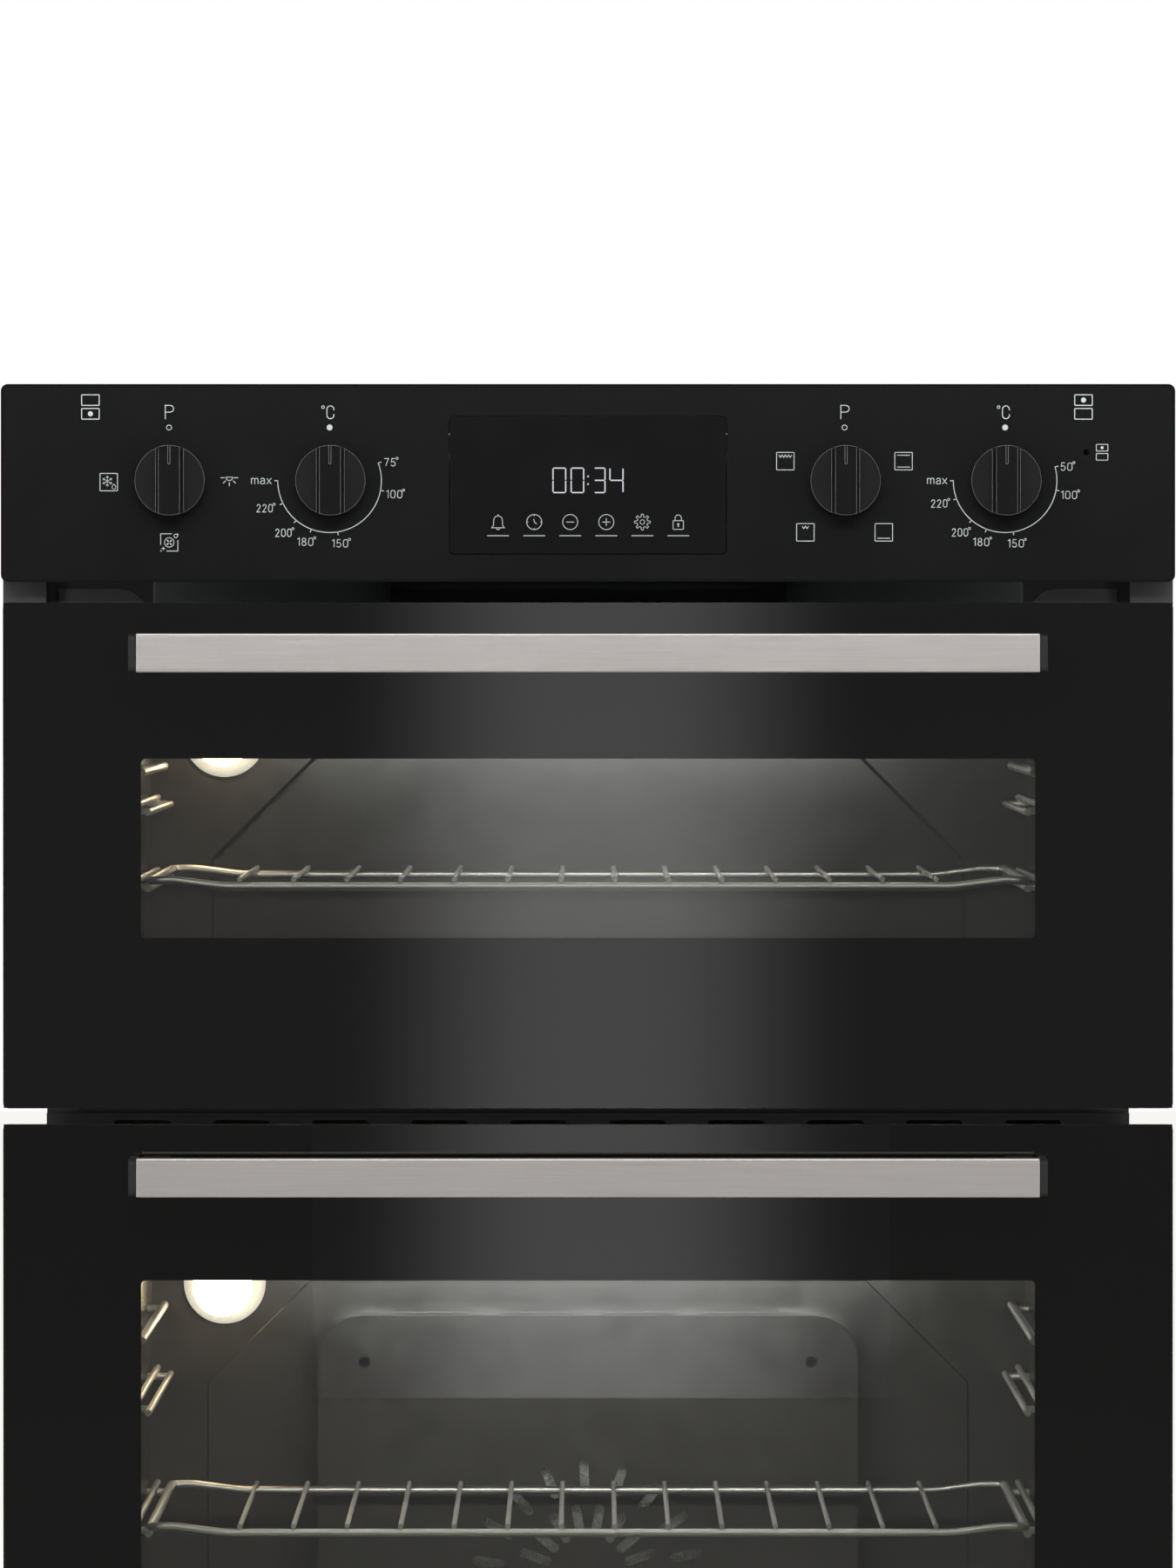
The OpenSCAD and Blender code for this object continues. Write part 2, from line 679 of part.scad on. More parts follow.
// A wire shelf on the runners at a level, with its grid a little lower than its sides
module shelf(level, d) {
    side = edge_rise - 0.4;
    z = level + support_r + rest + shelf_r - side;
    rail = function (y) [[-shelf_x, y, z + side], [-212, y, z + edge_rise], [-186, y, z],
                         [186, y, z], [212, y, z + edge_rise], [shelf_x, y, z + side]];
    front = rail(shelf_front);
    back = rail(shelf_front + d);
    loop = concat(front, [for (i = [5:-1:0]) back[i]]);
    color("#d6d4cd") {
        tube(bent_loop(loop, 4), shelf_r, closed = true);
        for (i = [0:cross_n - 1])
            rod_y((i - (cross_n - 1) / 2) * wire_pitch, z + shelf_r + cross_r + weld,
                shelf_front - 2.5, shelf_front + d + 2.5, cross_r);
    }
}

module top_shelf() {
    shelf(top_levels[1], top_shelf_d);
}

module main_shelf() {
    shelf(main_levels[3], main_shelf_d);
}

module deep_tray() {
    rim_z = main_levels[1] + support_r + rest;
    w = 2 * shelf_x + 3;
    d = main_shelf_d;
    deep = 32;
    color("#26262a") translate([0, shelf_front + d / 2, 0]) difference() {
        union() {
            translate([0, 0, rim_z]) linear_extrude(1.2) polygon(round_rect(w, d, 14));
            translate([0, 0, rim_z - deep]) linear_extrude(deep + 0.5) polygon(round_rect(w - 24, d - 20, 20));
        }
        translate([0, 0, rim_z - deep + 1.2]) linear_extrude(deep + 2) polygon(round_rect(w - 26.4, d - 22.4, 19));
    }
}

// ---- Control panel ----

module control_fascia() {
    wall = 2;
    color("#1c1c1c") difference() {
        facing(2, door_front) translate([0, panel_z + panel_h / 2]) polygon(round_rect(oven_w, panel_h, 3.5));
        facing(1, door_front - 2.5) translate([0, panel_z + panel_h / 2])
            square([oven_w - 2 * wall, panel_h - 2 * wall], center = true);
        facing(door_front - 5, door_front + 1) translate([0, display_z])
            polygon(round_rect(display_w + 0.8, display_h + 0.8, 2.4));
        for (x = knob_xs) rod_y(x, knob_z, cab_y - door_front - 1, cab_y - door_front + 5, 5.5);
        rod_y(252, oven_h - 34.5, cab_y - door_front - 1, cab_y - door_front + 5, 1.5);
    }
}

module display_lens() {
    color("#141414") facing(door_front - 2.3, door_front) translate([0, display_z])
        polygon(round_rect(display_w, display_h, 2));
}

module display_module() {
    color("darkgreen") facing(5, 6.6) translate([0, display_z]) square([132, 60], center = true);
    color("#303030") facing(6.6 + weld, door_front - 2.5) translate([0, display_z]) square([100, 50], center = true);
}

module switch_body(x, w, h) {
    difference() {
        union() {
            facing(-6, 17) translate([x, knob_z]) polygon(round_rect(w, h, 4));
            facing(17 - 0.2, 18.5) translate([x, knob_z]) polygon(round_rect(34, 56, 5));
            rod_y(x, knob_z, cab_y - door_front + 2.6, cab_y - 18, 5.2);
        }
        rod_y(x, knob_z, cab_y - door_front, cab_y + 3, spindle_r + running);
        for (z = [-24, 24]) rod_y(x, knob_z + z, cab_y - 20, cab_y - 15, 1.6);
    }
}

module function_switches() {
    color("#d9d5cb") for (x = [knob_xs[0], knob_xs[2]]) switch_body(x, 38, 40);
}

module thermostats() {
    color("#b9b9bd") for (x = [knob_xs[1], knob_xs[3]]) switch_body(x, 32, 44);
}

module spindle(x) {
    tip = door_front + knob_reach - 5;
    color("silver") difference() {
        rod_y(x, knob_z, cab_y - tip, cab_y, spindle_r);
        slab([x - 5, x + 5], [cab_y - tip - 1, cab_y - tip + 10], [knob_z + 1.6, knob_z + 5]);
    }
}

module knob(x) {
    skirt = door_front + 0.4;
    shoulder = door_front + 11;
    top = door_front + knob_reach;
    color("#1a1a1a") difference() {
        union() {
            rod_y(x, knob_z, cab_y - shoulder, cab_y - skirt, knob_r);
            // grip bar with drafted flanks, cut to the knob's circle
            intersection() {
                rod_y(x, knob_z, cab_y - top, cab_y - shoulder + 0.5, knob_r);
                translate([x, 0, knob_z - knob_r - 1]) linear_extrude(2 * knob_r + 2)
                    polygon([[-5.4, cab_y - top], [-7.2, cab_y - shoulder + 1], [7.2, cab_y - shoulder + 1],
                             [5.4, cab_y - top]]);
            }
        }
        // pointer groove
        facing(top - 0.8, top + 1) translate([x, knob_z + knob_r - 4.2]) polygon(round_rect(1.1, 10.4, 0.5, 4));
        difference() {
            rod_y(x, knob_z, cab_y - top + 5 - weld, cab_y - skirt + 1, spindle_r + weld);
            slab([x - 5, x + 5], [cab_y - top, cab_y - top + 14.9], [knob_z + 1.6 + weld, knob_z + 5]);
        }
    }
}

module terminal_box() {
    x = [gland[0] - 42, gland[0] + 42];
    color("#2b2b2b") difference() {
        union() {
            slab(x, [rear_y - 24, cab_y + body_d], [gland[2] + 12, gland[2] + 64]);
            translate(gland) cylinder(r = gland_r + 3, h = 12.5);
        }
        slab([x[0] + 2, x[1] - 2], [rear_y - 22, cab_y + body_d - 2], [gland[2] + 16, gland[2] + 62]);
        translate([gland[0], gland[1], gland[2] - 1]) cylinder(r = gland_r, h = 20);
    }
    color("#2b2b2b") slab([x[0] + 8, x[1] - 8], [rear_y - 21, rear_y - 6], [gland[2] + 30, gland[2] + 46]);
}

// ---- Doors: each takes its lower edge z and its height h ----

module outer_glass(z, h) {
    color("#1b1b1b") difference() {
        facing(glass_f, door_front) translate([0, z + h / 2]) polygon(round_rect(door_w, h, 2.6, 3));
        for (x = [-1, 1]) rod_y(x * (handle_w / 2 - 8), handle_mid(z, h), cab_y - door_front - 1, cab_y - glass_f + 1, 3);
    }
}

module inner_glass(z, h) {
    low = z + pivot_up + 13.5;
    high = z + h - 21;
    color("#6a6a66", 0.5) facing(inner_glass_f, profile_f) translate([0, (low + high) / 2])
        polygon(round_rect(500, high - low, 6));
}

module door_frame(z, h) {
    hinge_z = z + pivot_up;
    top = z + h - 4;
    color("#1f1f1f") {
        both_sides() difference() {
            slab([243, 268], [cab_y - glass_f + weld, cab_y - profile_f], [hinge_z - 10, top]);
            slab([244.2, 266.8], [cab_y - glass_f + 1.2, cab_y - profile_f - 1.2], [hinge_z - 20, top - 1.2]);
            slab([hinge_x - 5.5, hinge_x + 5.5], [cab_y - glass_f + 1.2, cab_y - profile_f + 1],
                [hinge_z - 20, hinge_z + 22]);
        }
        // upper profile with its air slots
        difference() {
            slab([-243 + weld, 243 - weld], [cab_y - glass_f + weld, cab_y - profile_f], [top - 22, top]);
            slab([-244, 244], [cab_y - glass_f + 1.2, cab_y - profile_f - 1.2], [top - 20.8, top - 1.2]);
            translate([0, 0, top - 3]) linear_extrude(5)
                for (x = [-200:40:200]) slot(x, cab_y - (glass_f + profile_f) / 2, 28, 5);
        }
        // lower profile, short of the inner glass so that it clears the frame as it turns
        difference() {
            slab([-243 + weld, 243 - weld], [cab_y - glass_f + weld, cab_y - 6], [hinge_z - 12, hinge_z + 6]);
            slab([-244, 244], [cab_y - glass_f + 1.2, cab_y - 7.2], [hinge_z - 10.8, hinge_z + 4.8]);
        }
        // ledge that carries the inner glass
        slab([-243 + weld, 243 - weld], [cab_y - 6, cab_y - profile_f - weld], [hinge_z + 13.5, hinge_z + 18]);
        slab([-243 + weld, 243 - weld], [cab_y - glass_f + weld, cab_y - 6 - weld], [hinge_z + 6 + weld, hinge_z + 18]);
    }
}

function handle_mid(z, h) = z + h - 15.6 - handle_h / 2;

// Section of a handle's bar: flat in front, rounded behind
module handle_bar(z, h) {
    front = cab_y - door_front - handle_reach;
    color("#b9b7b6") sideways(-handle_w / 2, handle_w / 2) translate([front + 6, handle_mid(z, h)])
        polygon(concat([[-6, -handle_h / 2 + 0.6], [-5.4, -handle_h / 2]],
            [for (i = [0:6]) [2 + 4 * sin(15 * i), -handle_h / 2 + 4 - 4 * cos(15 * i)]],
            [for (i = [0:6]) [2 + 4 * cos(15 * i), handle_h / 2 - 4 + 4 * sin(15 * i)]],
            [[-5.4, handle_h / 2], [-6, handle_h / 2 - 0.6]]));
}

module handle_brackets(z, h) {
    mid = handle_mid(z, h);
    reach = door_front + handle_reach;
    color("#2d2d2d") both_sides() {
        facing(door_front + weld, reach - 12 - weld) translate([handle_w / 2 - 8, mid])
            polygon(round_rect(15.9, 17, 2));
        sideways(handle_w / 2 + weld, handle_w / 2 + 4) translate([cab_y - (door_front + reach) / 2, mid])
            polygon(round_rect(handle_reach - 0.8, handle_h - 0.8, 3));
    }
}

module hinge_channels(z, length) {
    hinge_z = z + pivot_up;
    front = cab_y - glass_f + 1.4;
    back = cab_y - profile_f - 2;
    color("silver") both_sides() {
        difference() {
            slab([hinge_x - channel_w / 2, hinge_x + channel_w / 2], [front, back], [hinge_z - 8, hinge_z + length]);
            slab([hinge_x - channel_w / 2 + 1.5, hinge_x + channel_w / 2 - 1.5], [front + 1.2, back + 1],
                [hinge_z - 9, hinge_z + length + 1]);
            rod_x(pivot_y, hinge_z, hinge_x - 9, hinge_x + 9, hinge_pin_r + weld);
        }
        rod_x(pivot_y, hinge_z, hinge_x - channel_w / 2 - 1, hinge_x + channel_w / 2 + 1, hinge_pin_r);
        // spring rod and its nut
        translate([hinge_x, pivot_y - 0.5, hinge_z + 26]) cylinder(r = 2.2, h = length - 34);
        translate([hinge_x, pivot_y - 0.5, hinge_z + 115]) difference() {
            cylinder(r = 5.2, h = 5, $fn = 6);
            translate([0, 0, -1]) cylinder(r = 2.2 + weld, h = 7);
        }
    }
}

module hinge_springs(z) {
    turns = 11;
    steps = 10;
    low = z + pivot_up + 44;
    color("#8f8f8f") both_sides() tube(
        [for (i = [0:turns * steps]) [hinge_x + 3.9 * cos(360 * i / steps),
            pivot_y - 0.5 + 3.9 * sin(360 * i / steps), low + 70 * i / (turns * steps)]],
        0.9, sides = 6, halves = true);
}

base_tray();
mirror([1, 0, 0]) side_panel();  // left_side_panel
side_panel();  // right_side_panel
rear_panel();
top_cover();
front_frame();
mounting_lugs();
bottom_strip();
top_cavity();
main_cavity();
insulation();
door_seals();
grill_element();
base_element();
ring_element();
fan_baffle();
fan_motor();
convection_fan();
blower_housing();
air_duct();
blower_motor();
blower_impeller();
lamp_sockets();
lamp_bulbs();
lamp_lenses();
shelf_supports();
top_shelf();
main_shelf();
deep_tray();
control_fascia();
display_lens();
display_module();
function_switches();
thermostats();
knob(knob_xs[0]);  // main_function_knob
knob(knob_xs[1]);  // main_temperature_knob
knob(knob_xs[2]);  // top_function_knob
knob(knob_xs[3]);  // top_temperature_knob
spindle(knob_xs[0]);  // main_function_spindle
spindle(knob_xs[1]);  // main_temperature_spindle
spindle(knob_xs[2]);  // top_function_spindle
spindle(knob_xs[3]);  // top_temperature_spindle
terminal_box();
hinge_arms();
hinge_receivers();
body_screws();
outer_glass(top_door_z, top_door_h);  // top_outer_glass
inner_glass(top_door_z, top_door_h);  // top_inner_glass
door_frame(top_door_z, top_door_h);  // top_door_frame
handle_bar(top_door_z, top_door_h);  // top_handle_bar
handle_brackets(top_door_z, top_door_h);  // top_handle_brackets
hinge_channels(top_door_z, 150);  // top_hinge_channels
hinge_springs(top_door_z);  // top_hinge_springs
outer_glass(main_door_z, main_door_h);  // main_outer_glass
inner_glass(main_door_z, main_door_h);  // main_inner_glass
door_frame(main_door_z, main_door_h);  // main_door_frame
handle_bar(main_door_z, main_door_h);  // main_handle_bar
handle_brackets(main_door_z, main_door_h);  // main_handle_brackets
hinge_channels(main_door_z, 200);  // main_hinge_channels
hinge_springs(main_door_z);  // main_hinge_springs
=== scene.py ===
import bpy
import bmesh
import math
from mathutils import Matrix, Vector


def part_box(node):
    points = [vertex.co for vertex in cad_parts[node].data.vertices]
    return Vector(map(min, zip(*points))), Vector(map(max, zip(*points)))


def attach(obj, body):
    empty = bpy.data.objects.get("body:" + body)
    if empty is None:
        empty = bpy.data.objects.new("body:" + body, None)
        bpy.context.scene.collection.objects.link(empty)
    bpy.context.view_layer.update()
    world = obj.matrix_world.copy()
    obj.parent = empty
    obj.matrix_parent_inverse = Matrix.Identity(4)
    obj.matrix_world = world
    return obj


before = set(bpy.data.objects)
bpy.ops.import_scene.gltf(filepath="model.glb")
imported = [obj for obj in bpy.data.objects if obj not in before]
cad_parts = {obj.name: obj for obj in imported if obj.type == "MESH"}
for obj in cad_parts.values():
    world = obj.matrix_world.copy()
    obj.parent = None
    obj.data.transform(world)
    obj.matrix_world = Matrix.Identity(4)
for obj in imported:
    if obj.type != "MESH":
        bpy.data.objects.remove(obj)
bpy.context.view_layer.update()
scene = bpy.context.scene
mm = 0.001

# camera, lights and floor

view = {
    "distance": 6.5,        # from the door glass, m
    "height": 0.752,        # lens above the base, m
    "aim": 0.6857,          # height at the middle of the frame, m
    "frameHeight": 0.7932,  # what the frame takes in at the glass, m
}


def makeCamera():
    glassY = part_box("top_outer_glass")[0].y
    data = bpy.data.cameras.new("camera")
    camera = bpy.data.objects.new("camera", data)
    scene.collection.objects.link(camera)
    camera.location = (0, glassY - view["distance"], view["height"])
    tilt = math.atan2(view["height"] - view["aim"], view["distance"])
    camera.rotation_euler = (math.pi / 2 - tilt, 0, 0)
    data.sensor_fit = "VERTICAL"
    data.sensor_height = 36
    data.lens = data.sensor_height * view["distance"] / view["frameHeight"]
    data.clip_end = 100
    scene.camera = camera
    return camera


camera = makeCamera()
scene.view_settings.view_transform = "Standard"
print("camera placed")


def hexLinear(text, alpha=1.0):
    parts = [int(text[i:i + 2], 16) / 255 for i in (1, 3, 5)]
    return tuple(p / 12.92 if p <= 0.04045 else ((p + 0.055) / 1.055) ** 2.4 for p in parts) + (alpha,)


def addNode(tree, kind, inputs=None, **settings):
    made = tree.nodes.new("ShaderNode" + kind)
    for name, value in settings.items():
        setattr(made, name, value)
    for name, value in (inputs or {}).items():
        if isinstance(value, bpy.types.NodeSocket):
            tree.links.new(value, made.inputs[name])
        else:
            made.inputs[name].default_value = value
    return made


def perMm(size):
    # texture scale that makes one cell this many millimetres
    return 1000 / size


def startMaterial(name):
    made = bpy.data.materials.new(name)
    made.use_nodes = True
    made.node_tree.nodes.clear()
    place = addNode(made.node_tree, "TexCoord").outputs["Object"]
    return made, made.node_tree, place


def finishMaterial(tree, settings, shader="BsdfPrincipled"):
    surface = addNode(tree, shader, settings).outputs[0]
    addNode(tree, "OutputMaterial", {"Surface": surface})


room = {
    "background": 1.0,     # what the camera sees behind the oven
    "walls": 0.235,        # what everything else sees
    "floor": "#e4e3e0",
    "floorRadius": 16,
    "floorLift": 0.95,     # glow of the far floor, so that it stays as pale as the near floor
    "floorHeight": -0.06,
    "plinth": (0.25, -0.24, 0.24),  # half width, front and back, m
    "plinthGap": 0.001,    # between the plinth's top and the base, m
}


def makeRoom():
    world = bpy.data.worlds.new("studio")
    scene.world = world
    world.use_nodes = True
    tree = world.node_tree
    tree.nodes.clear()
    seen = addNode(tree, "LightPath").outputs["Is Camera Ray"]
    level = addNode(tree, "Mix", {0: seen, 2: room["walls"], 3: room["background"]}).outputs[0]
    sky = addNode(tree, "Background", {"Color": (1, 1, 1, 1), "Strength": level})
    addNode(tree, "OutputWorld", {"Surface": sky.outputs[0]})

    paper, tree, place = startMaterial("matt_studio_floor")
    cloud = addNode(tree, "TexNoise", {"Vector": place, "Scale": 3.0, "Detail": 4.0}).outputs[0]
    rough = addNode(tree, "MapRange", {"Value": cloud, "To Min": 0.6, "To Max": 0.75}).outputs[0]
    away = addNode(tree, "VectorMath", {0: place}, operation="LENGTH").outputs[1]
    lift = addNode(tree, "MapRange", {"Value": away, "From Min": 0.4, "From Max": 2.3, "To Max": room["floorLift"]},
                   interpolation_type="SMOOTHSTEP").outputs[0]
    looked = addNode(tree, "LightPath").outputs["Is Camera Ray"]
    lift = addNode(tree, "Math", {0: lift, 1: looked}, operation="MULTIPLY").outputs[0]
    finishMaterial(tree, {"Base Color": hexLinear(room["floor"]), "Roughness": rough,
                          "Emission Color": hexLinear(room["floor"]), "Emission Strength": lift})

    shape = bmesh.new()
    bmesh.ops.create_circle(shape, cap_ends=True, segments=96, radius=room["floorRadius"],
                            matrix=Matrix.Translation((0, 0, room["floorHeight"])))
    floor = addObject("floor", shape, paper)
    halfW, front, back = room["plinth"]
    shape = bmesh.new()
    foot, gap = room["floorHeight"], room["plinthGap"]
    bmesh.ops.create_cube(shape, size=1, matrix=Matrix.Translation((0, (front + back) / 2, (foot - gap) / 2))
                          @ Matrix.Diagonal((2 * halfW, back - front, -foot - gap, 1)))
    bmesh.ops.bevel(shape, geom=shape.edges[:], offset=0.002, segments=2, affect="EDGES", profile=0.5)
    plinth = addObject("plinth", shape, paper)


def addObject(name, shape, *materials, smooth=False):
    data = bpy.data.meshes.new(name)
    bmesh.ops.recalc_face_normals(shape, faces=shape.faces[:])
    shape.to_mesh(data)
    shape.free()
    for material in materials:
        data.materials.append(material)
    for face in data.polygons:
        face.use_smooth = smooth
    made = bpy.data.objects.new(name, data)
    scene.collection.objects.link(made)
    return made


# name: location, target, width, height, power
softboxes = {
    "overhead": ((0.0, -2.4, 2.9), (0, 0, 0.5), 3.2, 1.6, 44),
    "highFront": ((0.0, -2.7, 1.7), (0, 0, 0.75), 2.6, 0.4, 32),
    "left": ((-2.6, -2.2, 1.0), (0, -0.1, 0.6), 0.5, 2.4, 46),
    "right": ((2.6, -2.2, 1.0), (0, -0.1, 0.6), 0.5, 2.4, 46),
    "behind": ((1.4, 3.0, 2.4), (0, 0, 0.5), 2.4, 1.6, 70),
    "behindLeft": ((-2.6, 2.0, 1.6), (0, 0, 0.5), 1.4, 2.0, 40),
}
# a tall strip behind the camera that the flat glass mirrors as a soft band
strip = {"distance": 1.0, "centre": 0.0065, "halfWidth": 0.146, "core": 1.33, "coreHalf": 0.02, "height": 3.0,
         "middle": 0.7}
# in front of each cavity lamp's cover
lampLight = {"power": 0.3, "colour": "#ffdfae", "radius": 0.016, "gap": 0.03}
# low light along the top front edge of each cavity, above the window
cavityLight = {"power": 4.5, "depth": 0.05, "inset": 0.02, "tilt": 62, "shorter": 0.15, "belowRoof": 0.012}


def makeLights():
    for name, (location, target, width, height, power) in softboxes.items():
        data = bpy.data.lights.new(name, "AREA")
        data.shape = "RECTANGLE"
        data.size, data.size_y = width, height
        data.energy = power
        lamp = bpy.data.objects.new(name, data)
        lamp.location = location
        lamp.rotation_euler = (Vector(target) - Vector(location)).to_track_quat("-Z", "Y").to_euler()
        scene.collection.objects.link(lamp)
    for name in ("top", "main"):
        low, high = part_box(f"{name}_cavity")
        data = bpy.data.lights.new(f"{name}_cavity", "AREA")
        data.shape = "RECTANGLE"
        data.size, data.size_y = high.x - low.x - cavityLight["shorter"], cavityLight["depth"]
        data.energy = cavityLight["power"]
        lamp = bpy.data.objects.new(f"{name}_cavity_light", data)
        lamp.location = (0, low.y + cavityLight["inset"] + cavityLight["depth"] / 2,
                         high.z - cavityLight["belowRoof"])
        lamp.rotation_euler = (math.radians(cavityLight["tilt"]), 0, 0)
        lamp.visible_camera = lamp.visible_transmission = False
        scene.collection.objects.link(lamp)

    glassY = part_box("top_outer_glass")[0].y
    y = camera.location.y - strip["distance"]
    widen = 1 + (glassY - y) / view["distance"]  # how far the mirrored band is spread at the card
    half = strip["halfWidth"] * widen
    shape = bmesh.new()
    corners = [shape.verts.new((strip["centre"] * widen + sx * half, y, strip["middle"] + sz * strip["height"] / 2))
               for sx, sz in ((-1, -1), (1, -1), (1, 1), (-1, 1))]
    shape.faces.new(corners)
    glow, tree, place = startMaterial("softbox_cloth")
    x = addNode(tree, "SeparateXYZ", {0: place}).outputs[0]
    away = addNode(tree, "Math", {0: x, 1: strip["centre"] * widen}, operation="SUBTRACT").outputs[0]
    away = addNode(tree, "Math", {0: away}, operation="ABSOLUTE").outputs[0]
    level = addNode(tree, "MapRange", {"Value": away, "From Min": strip["coreHalf"], "From Max": half,
                                       "To Min": strip["core"], "To Max": room["walls"]},
                    interpolation_type="SMOOTHERSTEP").outputs[0]
    finishMaterial(tree, {"Strength": level}, shader="Emission")
    card = addObject("strip_light", shape, glow)
    card.visible_camera = False
    card.visible_diffuse = False

    low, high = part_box("lamp_lenses")
    size = high.x - low.x
    for name, z in (("main_lamp", low.z + size / 2), ("top_lamp", high.z - size / 2)):
        data = bpy.data.lights.new(name, "POINT")
        data.energy = lampLight["power"]
        data.color = hexLinear(lampLight["colour"])[:3]
        data.shadow_soft_size = lampLight["radius"]
        lamp = bpy.data.objects.new(name, data)
        lamp.location = ((low.x + high.x) / 2, low.y - lampLight["gap"], z)
        scene.collection.objects.link(lamp)


makeRoom()
makeLights()
print("room and lights made")

# finishes


def wanderingTone(tree, pattern, colour, low, high):
    # no coat is one flat colour: the pattern makes it a little darker and paler
    tint = addNode(tree, "MapRange", {"Value": pattern, "To Min": low, "To Max": high}).outputs[0]
    return addNode(tree, "Mix", {0: 1.0, 6: colour, 7: tint}, data_type="RGBA", blend_type="MULTIPLY").outputs[2]


def orangePeel(tree, place, grain, strength=0.12):
    # the fine ripple that a sprayed coat dries with
    peel = addNode(tree, "TexNoise", {"Vector": place, "Scale": perMm(grain), "Detail": 2.0}).outputs[0]
    return addNode(tree, "Bump", {"Height": peel, "Strength": strength, "Distance": 0.0002}).outputs[0]


galvanised = {"light": "#c3c6c7", "dark": "#a2a6a8", "crystal": 6.0, "roughness": (0.30, 0.46)}


def hotDipGalvanisedSteel():
    # zinc crystals a few millimetres across, each with its own tone and gloss
    made, tree, place = startMaterial("hot_dip_galvanised_steel")
    warp = addNode(tree, "TexNoise", {"Vector": place, "Scale": perMm(9), "Detail": 2.0}).outputs[1]
    bent = addNode(tree, "Mix", {0: 0.004, 4: place, 5: warp}, data_type="VECTOR").outputs[1]
    crystals = addNode(tree, "TexVoronoi", {"Vector": bent, "Scale": perMm(galvanised["crystal"])}).outputs["Color"]
    tone = addNode(tree, "SeparateColor", {0: crystals}).outputs[0]
    haze = addNode(tree, "TexNoise", {"Vector": place, "Scale": perMm(90), "Detail": 5.0}).outputs[0]
    blend = addNode(tree, "Mix", {0: 0.45, 2: tone, 3: haze}).outputs[0]
    colour = addNode(tree, "Mix", {0: blend, 6: hexLinear(galvanised["dark"]), 7: hexLinear(galvanised["light"])},
                     data_type="RGBA").outputs[2]
    low, high = galvanised["roughness"]
    rough = addNode(tree, "MapRange", {"Value": blend, "To Min": high, "To Max": low}).outputs[0]
    bump = addNode(tree, "Bump", {"Height": blend, "Strength": 0.08, "Distance": 0.0004}).outputs[0]
    finishMaterial(tree, {"Base Color": colour, "Metallic": 1.0, "Roughness": rough, "Normal": bump})
    return made


def paintedSteel(name, colour, roughness, grain, gloss=0.5):
    # powder coat: an orange-peel skin with a slightly uneven gloss
    made, tree, place = startMaterial(name)
    wipe = addNode(tree, "TexNoise", {"Vector": place, "Scale": perMm(45), "Detail": 5.0}).outputs[0]
    rough = addNode(tree, "MapRange", {"Value": wipe, "From Min": 0.3, "From Max": 0.7, "To Min": roughness - 0.05,
                                       "To Max": roughness + 0.06}).outputs[0]
    shade = wanderingTone(tree, wipe, hexLinear(colour), 0.9, 1.12)
    finishMaterial(tree, {"Base Color": shade, "Roughness": rough, "Normal": orangePeel(tree, place, grain),
                          "Specular IOR Level": gloss})
    return made


# rim is a painted shade colour on the rolled edge; rimWidth is the width of that band
panel = {"face": "#090909", "rim": "#040404", "rimWidth": 1.9, "roughness": 0.36, "rimRoughness": 0.75}


def panelLacquer():
    # satin lacquer on the control panel; its rolled rim gets a darker colour, a painted shade for the rim turning away
    # from the light
    made, tree, place = startMaterial("satin_black_panel_lacquer")
    low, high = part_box("control_fascia")
    middle = (low + high) / 2
    half = (high - low) / 2
    axes = addNode(tree, "SeparateXYZ", {0: place}).outputs
    reach = []
    for axis, centre, extent in ((axes[0], middle.x, half.x), (axes[2], middle.z, half.z)):
        offset = addNode(tree, "Math", {0: axis, 1: centre}, operation="SUBTRACT").outputs[0]
        offset = addNode(tree, "Math", {0: offset}, operation="ABSOLUTE").outputs[0]
        reach.append(addNode(tree, "Math", {0: extent, 1: offset}, operation="SUBTRACT").outputs[0])
    nearest = addNode(tree, "Math", {0: reach[0], 1: reach[1]}, operation="MINIMUM").outputs[0]
    # painted shade: the band within rimWidth of the panel's border takes the darker rim colour
    rim = addNode(tree, "MapRange", {"Value": nearest, "From Min": 0.7 * panel["rimWidth"] * mm,
                                     "From Max": panel["rimWidth"] * mm, "To Min": 1.0, "To Max": 0.0}).outputs[0]
    wipe = addNode(tree, "TexNoise", {"Vector": place, "Scale": perMm(55), "Detail": 5.0}).outputs[0]
    rough = addNode(tree, "MapRange", {"Value": wipe, "From Min": 0.3, "From Max": 0.7,
                                       "To Min": panel["roughness"] - 0.03,
                                       "To Max": panel["roughness"] + 0.04}).outputs[0]
    rough = addNode(tree, "Mix", {0: rim, 2: rough, 3: panel["rimRoughness"]}).outputs[0]
    colour = addNode(tree, "Mix", {0: rim, 6: hexLinear(panel["face"]), 7: hexLinear(panel["rim"])},
                     data_type="RGBA").outputs[2]
    bump = orangePeel(tree, place, 0.7, 0.1)
    finishMaterial(tree, {"Base Color": colour, "Roughness": rough, "Normal": bump, "Specular IOR Level": 0.1})
    return made


# raised is the paler colour painted on the pressed-out pads as painted light
frontSheet = {"low": "#303030", "raised": "#4c4c4c", "step": 0.5}


